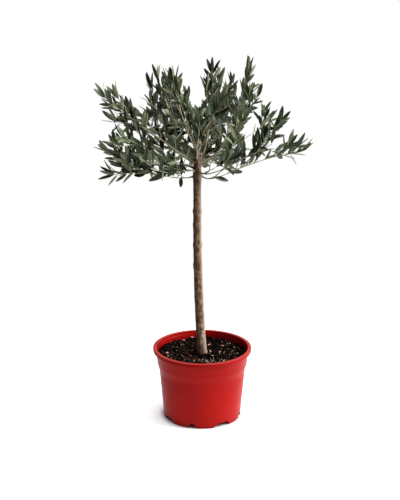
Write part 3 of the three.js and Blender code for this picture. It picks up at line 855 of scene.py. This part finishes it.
class Ground:
    """The soil's lumpy surface: gentle swells, with grains of many sizes pressed into it."""

    def __init__(self):
        random = np.random.default_rng(SOIL_SEED)
        reach = LEDGE_RADIUS * np.sqrt(random.random(GRAINS))
        turn = random.random(GRAINS) * FULL_TURN
        self.centres = np.stack([reach * np.cos(turn), reach * np.sin(turn)], axis=1)
        self.sizes = 1.1 + 4.2 * random.random(GRAINS) ** 2.2
        self.depths = random.random(GRAINS) * 0.9

    def swell(self, spots):
        """The low swells, highest against the pot's wall and round the trunk."""
        reach = np.linalg.norm(spots, axis=1)
        waves = np.sin(spots[:, 0] / 13 + 1.3) * np.cos(spots[:, 1] / 11 - 0.4) * 0.7
        edge = SOIL_EDGE_RISE * smooth((reach - 62) / 22)
        mound = 1.3 * np.exp(-((reach / 16) ** 2))
        return SOIL_HEIGHT - 0.4 + waves * smooth((84 - reach) / 16) + edge + mound

    def heights(self, spots):
        spots = np.asarray(spots, float)
        grains = []
        for part in np.array_split(spots, len(spots) // GRAIN_BATCH + 1):
            off = ((part[:, None] - self.centres) ** 2).sum(axis=2)
            caps = np.sqrt(np.clip(self.sizes ** 2 - off, 0, None)) * 0.9 - self.sizes * 0.45 - self.depths
            grains.append(np.where(off < self.sizes ** 2, caps, -2).max(axis=1))
        return self.swell(spots) + np.clip(np.concatenate(grains), -1.2, 1.8)


def make_soil(ground):
    gap = POT_WALL + SOIL_GAP
    floor = FLOOR_HEIGHT + gap
    inside_step = COLLAR_RADIUS - POT_WALL
    edge_share = (SOIL_HEIGHT + SOIL_EDGE_RISE - STEP_HIGH) / (LEDGE_HEIGHT - STEP_HIGH)
    edge_radius = mix(inside_step, LEDGE_RADIUS, edge_share) - SOIL_GAP / 2
    rings = np.arange(SOIL_RING_STEP, edge_radius, SOIL_RING_STEP).tolist() + [edge_radius]
    headings = np.arange(SOIL_SECTORS) * 360 / SOIL_SECTORS
    spots = np.array([polar(heading, radius, 0)[:2] for radius in rings for heading in headings])
    top = np.column_stack([spots, ground.heights(spots)])
    side = [
        (inside_step - SOIL_GAP / 2, STEP_HIGH),
        (WALL_RADIUS - gap, STEP_LOW),
        (wall_radius(floor) - gap, floor),
        (PAD_RADIUS + PAD_SLOPE - gap, floor),
        (PAD_RADIUS - gap, gap),
    ]
    skirt = np.array([polar(heading, radius, height) for radius, height in side for heading in headings])
    middle = ground.heights([(0, 0)])[0]
    points = np.concatenate([top, skirt, [(0, 0, middle), (0, 0, gap)]])
    faces = [tuple(reversed(face)) for face in lathe_faces(len(rings) + len(side), SOIL_SECTORS)]
    soil = mesh_object("potting_soil", points, faces, [soil_earth()])
    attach(soil, "root")
    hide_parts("soil")


def finish_soil(piece):
    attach(piece, "root")


def ball():
    """The points and faces of a small ball, which lumps are made from."""
    maker = bpy.data.meshes.new("ball")
    shape = bmesh.new()
    bmesh.ops.create_icosphere(shape, subdivisions=2, radius=1)
    shape.to_mesh(maker)
    shape.free()
    points = np.array([vertex.co[:] for vertex in maker.vertices])
    faces = [tuple(face.vertices) for face in maker.polygons]
    bpy.data.meshes.remove(maker)
    return points, faces


def lump(random, shape, size, flatness):
    """An uneven lump: a ball with a few flats knocked off it, squeezed and turned at random."""
    points = shape * (1 + LUMP_BUMPS * random.standard_normal((len(shape), 1)))
    for _ in range(LUMP_FLATS):
        side = unit(random.standard_normal(3))
        over = np.clip(points @ side - LUMP_FLAT_REACH, 0, None)
        points = points - np.outer(over, side)
    points = points * size * np.array([1, mix(*LUMP_WIDTHS, random.random()), flatness])
    lean = random.normal(0, LUMP_LEAN, 2)
    spin = random.random() * FULL_TURN
    for axis, angle in zip("XYZ", (*lean, spin)):
        points = points @ np.array(Matrix.Rotation(angle, 3, axis))
    return points


def resting(ground, points, spot, sunk):
    """Points of a small piece, moved to lie on the soil at a spot, sunk by a share of its thickness."""
    low, high = points[:, 2].min(), points[:, 2].max()
    height = ground.heights([spot])[0] - low - sunk * (high - low)
    return points + np.array([spot[0], spot[1], height])


def soil_spot(random, reach):
    """A random spot of soil, clear of the trunk and the pot's wall."""
    turn = random.random() * FULL_TURN
    away = mix(TRUNK_RADIUS + 3, reach, math.sqrt(random.random()))
    return np.array([away * math.cos(turn), away * math.sin(turn)])


def make_crumbs(ground):
    """Loose dark crumbs of many sizes."""
    random = np.random.default_rng(SOIL_SEED + 1)
    points, faces = ball()
    crumbs = Bundle()
    for number in range(CRUMBS):
        size = mix(*CRUMB_SIZES, random.random() ** 2)
        crumb = lump(random, points, size, 0.75)
        shade = int(len(CRUMB_COLOURS) * random.random() ** 1.8)
        spot = soil_spot(random, SOIL_REACH)
        if number < FOOT_CRUMBS:
            spot = polar(360 * random.random(), mix(*FOOT_CRUMB_REACH, random.random()), 0)[:2]
        crumbs.add(resting(ground, crumb, spot, 0.35), faces, shade)
    finish_soil(crumbs.build("soil_crumbs", plain_shades("crumb", CRUMB_COLOURS, 0.8, 0.04, 0.8, 0.7)))


def make_chips(ground):
    """Pale chips of bark, first the ones that stand out and then scattered small ones."""
    random = np.random.default_rng(SOIL_SEED + 2)
    points, faces = ball()
    chips = Bundle()
    for number in range(CHIPS):
        if number < len(BOLD_CHIPS):
            heading, reach, size = BOLD_CHIPS[number]
            size *= BOLD_SCALE
            spot = polar(heading, reach, 0)[:2]
            shade = number % 3
        else:
            size = mix(*CHIP_SIZES, random.random() ** 2)
            spot = soil_spot(random, SOIL_REACH)
            shade = int(random.integers(len(CHIP_COLOURS)))
        chip = lump(random, points * CHIP_SHAPE, size, 0.4)
        chips.add(resting(ground, chip, spot, 0.25), faces, shade)
    finish_soil(chips.build("bark_chips", plain_shades("chip", CHIP_COLOURS, 0.85, 0.2, 0.9, 0.8)))


def make_fibres(ground):
    """Thin curved fibres and bits of root that lie on the soil, some of them bolder and near the front."""
    random = np.random.default_rng(SOIL_SEED + 3)
    fibres = Bundle()
    for number in range(FIBRES):
        is_front = number < FRONT_FIBRES
        if is_front:
            spot = polar(mix(*FRONT_HEADINGS, random.random()), mix(*FRONT_REACH, random.random()), 0)[:2]
        else:
            spot = soil_spot(random, SOIL_REACH - 8)
        heading = random.random() * FULL_TURN
        bend = random.normal(0, 0.16)
        path = []
        for _ in range(9):
            path.append(np.array([spot[0], spot[1], ground.heights([spot])[0] + 0.5]))
            step = mix(*FIBRE_STEPS, random.random())
            spot = spot + step * np.array([math.cos(heading), math.sin(heading)])
            heading += bend + random.normal(0, 0.12)
            if np.linalg.norm(spot) > SOIL_REACH:
                break
        if len(path) < 4:
            continue
        thick = mix(*FIBRE_SIZES, random.random()) * (FRONT_SCALE if is_front else 1)
        radii = [thick * (0.4 + 0.6 * math.sin(math.pi * (i + 0.5) / len(path))) for i in range(len(path))]
        fibres.add(*tube(path, radii, 5), 0)
    finish_soil(fibres.build("soil_fibres", plain_shades("fibre", [FIBRE_COLOUR], 0.8, 0.2, 0.6, 0.5)))


# Wood

def trunk_centre(height):
    """The trunk leans to the left as it rises, then stands straight to the fork; the leader kinks back."""
    lean = min((height - TRUNK_FOOT) / (LEAN_HEIGHT - TRUNK_FOOT), 1)
    kink = max((height - FORK_HEIGHT) / (LEADER_TIP - FORK_HEIGHT), 0)
    return np.array([TRUNK_LEAN * (1 - (1 - lean) ** 2) + LEADER_KINK * kink ** 2, 0, height])


def trunk_radius(height):
    above = height - TRUNK_FOOT
    radius = mix(TRUNK_RADIUS, FORK_RADIUS, above / (FORK_HEIGHT - TRUNK_FOOT))
    if height > FORK_HEIGHT:
        climb = (height - FORK_HEIGHT) / (LEADER_TIP - FORK_HEIGHT)
        radius = max(mix(LEADER_RADIUS, LEADER_TIP_RADIUS, climb), FORK_RADIUS - FORK_TAPER * climb)
    radius += FLARE * math.exp(-max(above, 0) / FLARE_HEIGHT)
    radius += FORK_SWELL * bell(height - FORK_HEIGHT, FORK_SPREAD)
    for ring_height, out, spread in RINGS:
        radius += out * bell(height - ring_height, spread)
    return radius


class Run:
    """A bent run of wood from its foot to its tip. Its slight sway is nothing at either end.

    Its leaves grow beyond two shares of it: its start, which is bare wood, and its bare share.
    """

    def __init__(self, foot, bend, tip, seed, start=0, bare=0, dip=0, sway=SWAY):
        roll = dice(seed)
        self.foot, self.bend, self.tip = foot, bend, tip
        self.start, self.bare, self.dip, self.sway = start, bare, dip, sway
        self.level = unit(np.array([foot[1] - tip[1], tip[0] - foot[0] + 1e-6, 0.0]))
        self.waves = [(count, roll() * FULL_TURN, roll() * FULL_TURN) for count in (2, 3.3, 5.2)]

    def at(self, t):
        """The place at a share of the run."""
        spot = (1 - t) ** 2 * self.foot + 2 * t * (1 - t) * self.bend + t * t * self.tip
        room = self.sway * math.sin(math.pi * t)
        spot = spot - UP * self.dip * math.sin(FULL_TURN * abs(t) ** DIP_PACE)
        for count, across, upward in self.waves:
            spot = spot + self.level * room / count * math.sin(math.pi * count * t + across)
            spot = spot + UP * room / count * math.sin(math.pi * count * t + upward)
        return spot

    def along(self, t):
        return unit(self.at(t + 0.004) - self.at(t - 0.004))

    def outward(self, along, turn):
        """The direction square to the run where it heads along, turned round it from level."""
        return self.level * math.cos(turn) + np.cross(along, self.level) * math.sin(turn)

    def share_of(self, t, length):
        """The share of the run that a length takes up at a share of it."""
        speed = 2 * (1 - t) * (self.bend - self.foot) + 2 * t * (self.tip - self.bend)
        return length / np.linalg.norm(speed)

    def path(self, start, end, step):
        """Shares of the run from one to another, about a step apart."""
        length = np.linalg.norm(self.at(end) - self.at(start))
        return np.linspace(start, end, max(int(length / step), 3))


def run_to(foot, goal, seed, **habits):
    """A run in one upright plane, from its foot to a goal in the table of boughs."""
    heading, reach, height, out, rise = goal
    tip = polar(heading, reach, height)
    bend = np.array([mix(foot[0], tip[0], out), mix(foot[1], tip[1], out), foot[2] + rise])
    return Run(foot, bend, tip, seed, **habits)


def masses():
    """Each mass of foliage: its name, its stem and its side shoots. The stem is also its bough's run."""
    made = []
    for index, (name, height, side, goal, shoots) in enumerate((*BOUGHS, LEADER)):
        foot = trunk_centre(height)
        start = 0
        if side is not None:
            foot = foot + polar(side, FORK_RADIUS / 2, 0)
            start = BARE_SHARE
        habits = {"start": start, "bare": BARE_STEMS.get(name, 0), "dip": DIPS.get(name, 0)}
        stem = run_to(foot, goal, 10 * index + 1, **habits)
        runs = [stem]
        for number, (share, *shoot_goal) in enumerate(shoots):
            runs.append(run_to(stem.at(share), shoot_goal, 10 * index + 2 + number))
        made.append((name, runs))
    return made


def bark_relief(spot):
    """How far the bark stands out at a place: fissures that run up the wood, and the knots."""
    axis = trunk_centre(min(max(spot[2], TRUNK_FOOT), LEADER_TIP))
    away = math.hypot(spot[0] - axis[0], spot[1] - axis[1])
    relief = FISSURES * noise.fractal(Vector(spot / FISSURE_GRAIN), 1.0, 2.1, 4)
    relief += SWELLS * noise.noise(Vector(spot / SWELL_GRAIN))
    relief *= mix(LIMB_RELIEF, 1, 1 - smooth((away - 9) / 16))
    for heading, height, size, out in KNOTS:
        if abs(spot[2] - height) < 3 * size and away < 16:
            relief += knot_relief(spot, heading, height, size, out)
    return relief


def knot_relief(spot, heading, height, size, out):
    """A cut shoot's callus: a low swelling with a hollow in its middle."""
    seat = trunk_centre(height) + polar(heading, trunk_radius(height), 0)
    away = np.linalg.norm((spot - seat) * (1, 1, 0.8)) / size
    return out * (bell(away, 1) - 0.85 * bell(away, 0.42))


def limb_radius(share):
    """A stem's radius along its run: a bough at first, and a twig at its tip."""
    if share < BARE_SHARE:
        return mix(BOUGH_RADIUS, STEM_RADIUS, share / BARE_SHARE)
    return mix(STEM_RADIUS, TWIG_TIP_RADIUS, (share - BARE_SHARE) / (1 - BARE_SHARE))


def numbers_of(vertices, name):
    """A value that each vertex has three numbers of, as rows."""
    rows = np.empty(len(vertices) * 3)
    vertices.foreach_get(name, rows)
    return rows.reshape(-1, 3)


def make_wood(all_masses):
    """The trunk with its leader and the bare feet of the boughs, grown together into one skin."""
    wood = Bundle()
    heights = np.arange(TRUNK_FOOT - TRUNK_SUNK, LEADER_TIP, TRUNK_STEP).tolist() + [LEADER_TIP]
    path = [trunk_centre(max(height, TRUNK_FOOT)) * (1, 1, 0) + UP * height for height in heights]
    wood.add(*tube(path, [trunk_radius(height) for height in heights], TRUNK_SIDES), 0)
    for name, (stem, *_) in all_masses:
        if name == LEADER[0]:
            continue
        radii = []
        shares = stem.path(0, WOOD_SHARE, LIMB_STEP)
        for share in shares:
            collar = COLLAR * math.exp(-share / COLLAR_SHARE)
            radii.append(limb_radius(share) * SLIMNESS.get(name, 1) + collar)
        wood.add(*tube([stem.at(share) for share in shares], radii, LIMB_SIDES), 0)
    piece = wood.build("trunk_and_boughs", [bark()])
    remesh = piece.modifiers.new("grown_together", "REMESH")
    remesh.mode = "VOXEL"
    remesh.voxel_size = WOOD_VOXEL * MM
    even = piece.modifiers.new("evened", "SMOOTH")
    even.factor = 0.5
    even.iterations = 5
    applied(piece)
    mesh = piece.data
    spots = numbers_of(mesh.vertices, "co") / MM
    out = np.array([bark_relief(spot) for spot in spots])
    lifted = spots + numbers_of(mesh.vertices, "normal") * out[:, None]
    mesh.vertices.foreach_set("co", (lifted * MM).ravel())
    mesh.update()
    mesh.shade_smooth()
    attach(piece, "root")
    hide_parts("trunk", *(f"bough_{bough[0]}" for bough in BOUGHS))


# Foliage

class Blade:
    """The shape that all leaves share: points as length, half width and which of four lines they lie on."""

    def __init__(self):
        self.shares = np.array([share for share, _ in LEAF_OUTLINE for _ in range(4)] + [1.0])
        self.widths = np.array([width * side for _, width in LEAF_OUTLINE for side in (0, 1, 0, -1)] + [0.0])
        self.backs = np.array([0.5, 0, -0.5, 0] * len(LEAF_OUTLINE) + [0.0])
        self.faces, self.is_top = [(0, 1, 2, 3)], [False]
        tip = 4 * len(LEAF_OUTLINE)
        for ridge in range(0, tip, 4):
            right, back, left = ridge + 1, ridge + 2, ridge + 3
            sides = ((ridge, right, True), (left, ridge, True), (right, back, False), (back, left, False))
            for first, second, is_top in sides:
                face = (first, tip, second) if ridge + 4 == tip else (first, first + 4, second + 4, second)
                self.faces.append(face)
                self.is_top.append(is_top)

    def points(self, leaf, size, breadth, fold, curl):
        root, axis, width, face = leaf
        half = size * LEAF_WIDTH_SHARE / 2 * breadth
        aside = self.widths * half
        above = np.abs(aside) * fold + self.backs * LEAF_THICKNESS
        above = above + size * curl * self.shares ** 2
        return root + np.outer(self.shares * size, axis) + np.outer(aside, width) + np.outer(above, face)


BLADE = Blade()


def leaf_at(run, t, around, angle, tilt, lift=LEAF_LIFT):
    """One leaf's root, axis and blade directions. On a level shoot leaves turn up towards the light."""
    along = run.along(t)
    outward = run.outward(along, around)
    level = 1 - abs(along[2])
    angle += math.radians(LEVEL_ANGLE) * level
    axis = unit(along * math.cos(angle) + outward * math.sin(angle) + UP * lift * level)
    inner = along * math.sin(angle) - outward * math.cos(angle)
    width = unit(np.cross(inner, axis))
    width = width * math.cos(tilt) + np.cross(axis, width) * math.sin(tilt)
    return run.at(t), axis, width, np.cross(axis, width)


def seen_at(spot):
    """Where the camera sees a place on the upright plane through the pot's axis."""
    eye = np.array(CAMERA_PLACE) / MM
    return eye + (spot - eye) * eye[1] / (eye[1] - spot[1])


def limb_sights(all_masses):
    """Where the camera sees the limbs that show, and how deep they lie."""
    sights = []
    for name, runs in all_masses:
        if name in SEEN_LIMBS:
            for share in np.linspace(*SEEN_LIMBS[name], 18):
                spot = runs[0].at(share)
                across, _, up = seen_at(spot)
                sights.append((across, up, spot[1]))
    return np.array(sights)


class Mass:
    """One mass of foliage as it grows: its leaves, its twigs and the space that it keeps to."""

    def __init__(self, name, runs, index, sights):
        self.name, self.sights = name, sights
        self.low, self.high = (np.array(corner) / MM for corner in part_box(f"foliage_{name}"))
        self.leaves, self.twigs = Bundle(), Bundle()
        self.roll = dice(1000 + index)
        tones = TONES.get(name, {})
        for number, run in enumerate(runs):
            is_bough = number == 0 and name != LEADER[0]
            radius = SHOOT_RADIUS if number else STEM_RADIUS * SLIMNESS.get(name, 1)
            mixed_tone = mix(0.1, 0.75, self.roll())
            tone = tones.get(number, mixed_tone)
            pairs = self.grow_leaves(run, 10 * index + number + 1, tone, 1, (BASE_SPACING, TIP_SPACING))
            self.grow_twig(run, WOOD_SHARE if is_bough else run.start, radius, pairs)
            self.grow_sprigs(run, 500 + 10 * index + number, tone)

    def is_clear(self, spots):
        """Whether some places are inside the mass's space, off its openings and clear of the trunk."""
        for spot in spots:
            across, _, up = seen_at(spot)
            if any(math.hypot((across - x) / wide, (up - z) / tall) < 1 for x, z, wide, tall in OPENINGS):
                return False
            near = np.hypot(self.sights[:, 0] - across, self.sights[:, 1] - up) < LIMB_GAP
            if (near & (spot[1] < self.sights[:, 2] - 2)).any():
                return False
            if (spot < self.low - LOW_MARGIN).any() or (spot > self.high + HIGH_MARGIN).any():
                return False
            if spot[2] > LEADER_TIP + WOOD_MARGIN:
                continue
            height = min(max(spot[2], TRUNK_FOOT), LEADER_TIP)
            away = np.linalg.norm((spot - trunk_centre(height))[:2])
            if away < trunk_radius(height) + WOOD_MARGIN:
                return False
        return True

    def grow_leaves(self, run, seed, tone, scale, spacings):
        """Opposite pairs of leaves, each a quarter turn from the last, closer and steeper to the tip."""
        roll = dice(seed)
        first = run.start + run.share_of(run.start, FIRST_PAIR * scale)
        turn = roll() * FULL_TURN
        t = max(first, run.bare)
        pairs = []
        while t < LAST_PAIR:
            youth = (t - first) / (1 - first)
            pairs.append(t)
            for side in (0, math.pi):
                around = turn + side + (roll() - 0.5) * AROUND_SPREAD
                spread = (roll() - 0.5) * ANGLE_SPREAD
                angle = math.radians(mix(BASE_ANGLE, TIP_ANGLE, youth) + spread)
                vigour = math.sin(math.pi * min(youth + 0.25, 1)) * math.sqrt(roll())
                size = LEAF_LENGTH * (LEAF_LEAST + LEAF_GROWTH * vigour) * scale
                tilt = (roll() - 0.5) * TILT_SPREAD
                lift = LEAF_LIFT * mix(-0.1, 1.7, roll())
                self.add_leaf(leaf_at(run, t, around, angle, tilt, lift), size, tone, youth)
            turn += math.pi / 2 + (roll() - 0.5) * TURN_SPREAD
            t += run.share_of(t, mix(*spacings, youth) * mix(0.85, 1.15, roll()))
        for quarter, angle in enumerate(TIP_LEAF_ANGLES):
            size = LEAF_LENGTH * mix(*TIP_LEAF_SIZES, roll()) * scale
            tilt = (roll() - 0.5) * TILT_SPREAD
            self.add_leaf(leaf_at(run, TIP_SEAT, turn + quarter * math.pi / 2, angle, tilt), size, tone, 1)
        return pairs

    def add_leaf(self, leaf, size, tone, youth):
        roll = self.roll
        root, axis = leaf[:2]
        if roll() > LEAF_SHARES.get(self.name, 1):
            return
        if not self.is_clear([root + axis * size * share for share in CLEAR_SHARES]):
            return
        breadth = mix(0.88, 1.14, roll()) * mix(1, YOUNG_BREADTH, youth)
        fold = FOLD * mix(0.5, 1.4, roll())
        curl = mix(*RECURVE, roll())
        inside = 1 - min(math.hypot(root[0], root[1]) / INNER_REACH, 1)
        # Painted shade: leaves deep in the crown get darker shades.
        shade = 0.45 * tone + 0.25 * youth + 0.75 * (roll() - 0.35) - INNER_PAINTED_SHADE * inside
        upper = int(np.clip(shade, 0, 0.999) * len(UPPER_COLOURS))
        under = len(UPPER_COLOURS) + int(roll() * len(UNDER_COLOURS))
        shades = [upper if is_top else under for is_top in BLADE.is_top]
        self.leaves.add(BLADE.points(leaf, size, breadth, fold, curl), BLADE.faces, shades)

    def grow_twig(self, run, start, radius, pairs):
        """A twig's wood, a little swollen where its leaves sit, browner at its foot and green at its tip."""
        begin = max(start - run.share_of(start, WOOD_OVERLAP), 0)
        shares = set(run.path(begin, 1, TWIG_STEP))
        for pair in pairs:
            if pair > begin:
                reach = run.share_of(pair, NODE_SPREAD)
                shares |= {pair - reach, pair, pair + reach}
        shares = sorted(share for share in shares if begin <= share <= 1)
        radii = []
        for share in shares:
            thick = mix(radius, TWIG_TIP_RADIUS, (share - run.start) / (1 - run.start))
            near = min((abs(share - pair) / run.share_of(share, NODE_SPREAD) for pair in pairs), default=9)
            radii.append(thick * (1 + NODE_SWELL * bell(near, 1)))
        points, faces = tube([run.at(share) for share in shares], radii, TWIG_SIDES)
        rings = [mix(shares[0], 1, face[0] / len(points)) for face in faces]
        shades = [int(min(ring * len(TWIG_COLOURS), len(TWIG_COLOURS) - 1)) for ring in rings]
        self.twigs.add(points, faces, shades)

    def grow_sprigs(self, run, seed, tone):
        """Short side twigs that leave a run where it bears leaves, with smaller leaves of their own."""
        roll = dice(seed)
        t = max(mix(run.start, 1, SPRIG_FIRST), run.bare)
        turn = roll() * FULL_TURN
        number = 0
        while t < SPRIG_LAST:
            length = mix(SPRIG_LONGEST, SPRIG_SHORTEST, t) * mix(0.7, 1.3, roll())
            angle = math.radians(SPRIG_ANGLE * mix(0.8, 1.2, roll()))
            along = run.along(t)
            side = along * math.cos(angle) + run.outward(along, turn) * math.sin(angle)
            heading = unit(side + UP * SPRIG_LIFT)
            foot = run.at(t)
            tip = foot + heading * length
            bend = foot + heading * length * 0.5 - UP * length * SPRIG_SAG
            reach = tip + heading * LEAF_LENGTH * SPRIG_LEAF_SHARE * 0.6
            if roll() < SPRIG_SHARES.get(self.name, SPRIG_SHARE) and self.is_clear([bend, tip, reach]):
                sprig = Run(foot, bend, tip, seed * 7 + number, sway=SPRIG_SWAY)
                leaf_seed = seed * 11 + number
                pairs = self.grow_leaves(sprig, leaf_seed, tone, SPRIG_LEAF_SHARE, SPRIG_LEAF_SPACINGS)
                self.grow_twig(sprig, 0, SPRIG_RADIUS, pairs)
            t += run.share_of(t, SPRIG_SPACING * mix(0.7, 1.3, roll()))
            turn += SPRIG_TURN
            number += 1

    def build(self, leaf_materials, twig_materials):
        leaves = self.leaves.build(f"leaves_{self.name}", leaf_materials)
        leaves.data.set_sharp_from_angle(angle=math.radians(LEAF_CREASE))
        twigs = self.twigs.build(f"twigs_{self.name}", twig_materials)
        for piece, slot in ((leaves, "foliage"), (twigs, "bark")):
            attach(piece, "root")
            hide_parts(f"foliage_{self.name}")


def make_foliage(all_masses):
    upper = plain_shades("leaf_upper", UPPER_COLOURS, 0.46, 0.26, 2.5, 0.25)
    under = plain_shades("leaf_under", UNDER_COLOURS, 0.75, 0.15, 1.2, 0.25)
    twigs = plain_shades("twig", TWIG_COLOURS, 0.75, 0.15, 1.0, 0.5)
    sights = limb_sights(all_masses)
    for index, (name, runs) in enumerate(all_masses):
        Mass(name, runs, index, sights).build(upper + under, twigs)


# Stage

def make_floor():
    """A round white floor with a painted shadow inside the pot's foot. A painted glow keeps the pot's shadow
    short and soft.
    """
    white = new_material("pale_floor", 0.9, 0)
    reach = reach_of(white)
    feed(white, "Base Color", blend_of(white, range_of(white, reach, SHADE_REACH), FLOOR_SHADE, FLOOR_WHITE))
    glow = ramp_of(white, range_of(white, reach, GLOW_REACH), GLOW_PLACES, FLOOR_GLOWS)
    feed(white, "Emission Color", glow)
    shader_of(white).inputs["Emission Strength"].default_value = 1
    points = [polar(i * 360 / FLOOR_SIDES, FLOOR_REACH, 0) for i in range(FLOOR_SIDES)]
    mesh_object("studio_floor", points, [tuple(range(FLOOR_SIDES))], [white])


def make_world():
    """Soft studio light, mostly from the right and above. The camera sees plain white behind the tree."""
    world = bpy.data.worlds.new("studio")
    bpy.context.scene.world = world
    world.use_nodes = True
    tree = world.node_tree
    tree.nodes.clear()
    place = add_node(world, "ShaderNodeTexCoord", {}, "Generated")
    side = unit(np.array(LIGHT_SIDE))
    toward = add_node(world, "ShaderNodeVectorMath", {0: place, 1: side}, "Value", operation="DOT_PRODUCT")
    fall = math_of(world, "POWER", range_of(world, toward, (-1, 1)), LIGHT_FALL)
    strength = range_of(world, fall, (0, 1), DIM_SIDE, BRIGHT_SIDE)
    light = add_node(world, "ShaderNodeBackground", {"Strength": strength})
    backdrop = add_node(world, "ShaderNodeBackground", {"Color": (1, 1, 1)})
    seen = add_node(world, "ShaderNodeLightPath", {}, "Is Camera Ray")
    choice = add_node(world, "ShaderNodeMixShader", {0: seen, 1: light, 2: backdrop})
    tree.links.new(choice, tree.nodes.new("ShaderNodeOutputWorld").inputs["Surface"])


def make_light():
    lamp = bpy.data.lights.new("key_light", "AREA")
    lamp.size = KEY_SIZE
    lamp.energy = KEY_POWER
    light = add_object("key_light", lamp)
    light.location = KEY_PLACE
    aim = Vector(KEY_AIM) - light.location
    light.rotation_euler = aim.to_track_quat("-Z", "Y").to_euler()


def make_camera():
    lens = bpy.data.cameras.new("camera")
    lens.lens = CAMERA_LENS
    camera = add_object("camera", lens)
    camera.location = CAMERA_PLACE
    camera.rotation_euler = (math.radians(90 - CAMERA_PITCH), 0, 0)
    bpy.context.scene.camera = camera


make_pot()
ground = Ground()
make_soil(ground)
make_crumbs(ground)
make_chips(ground)
make_fibres(ground)
all_masses = masses()
make_wood(all_masses)
make_foliage(all_masses)
make_floor()
make_world()
make_light()
make_camera()
bpy.context.scene.view_settings.view_transform = "Standard"
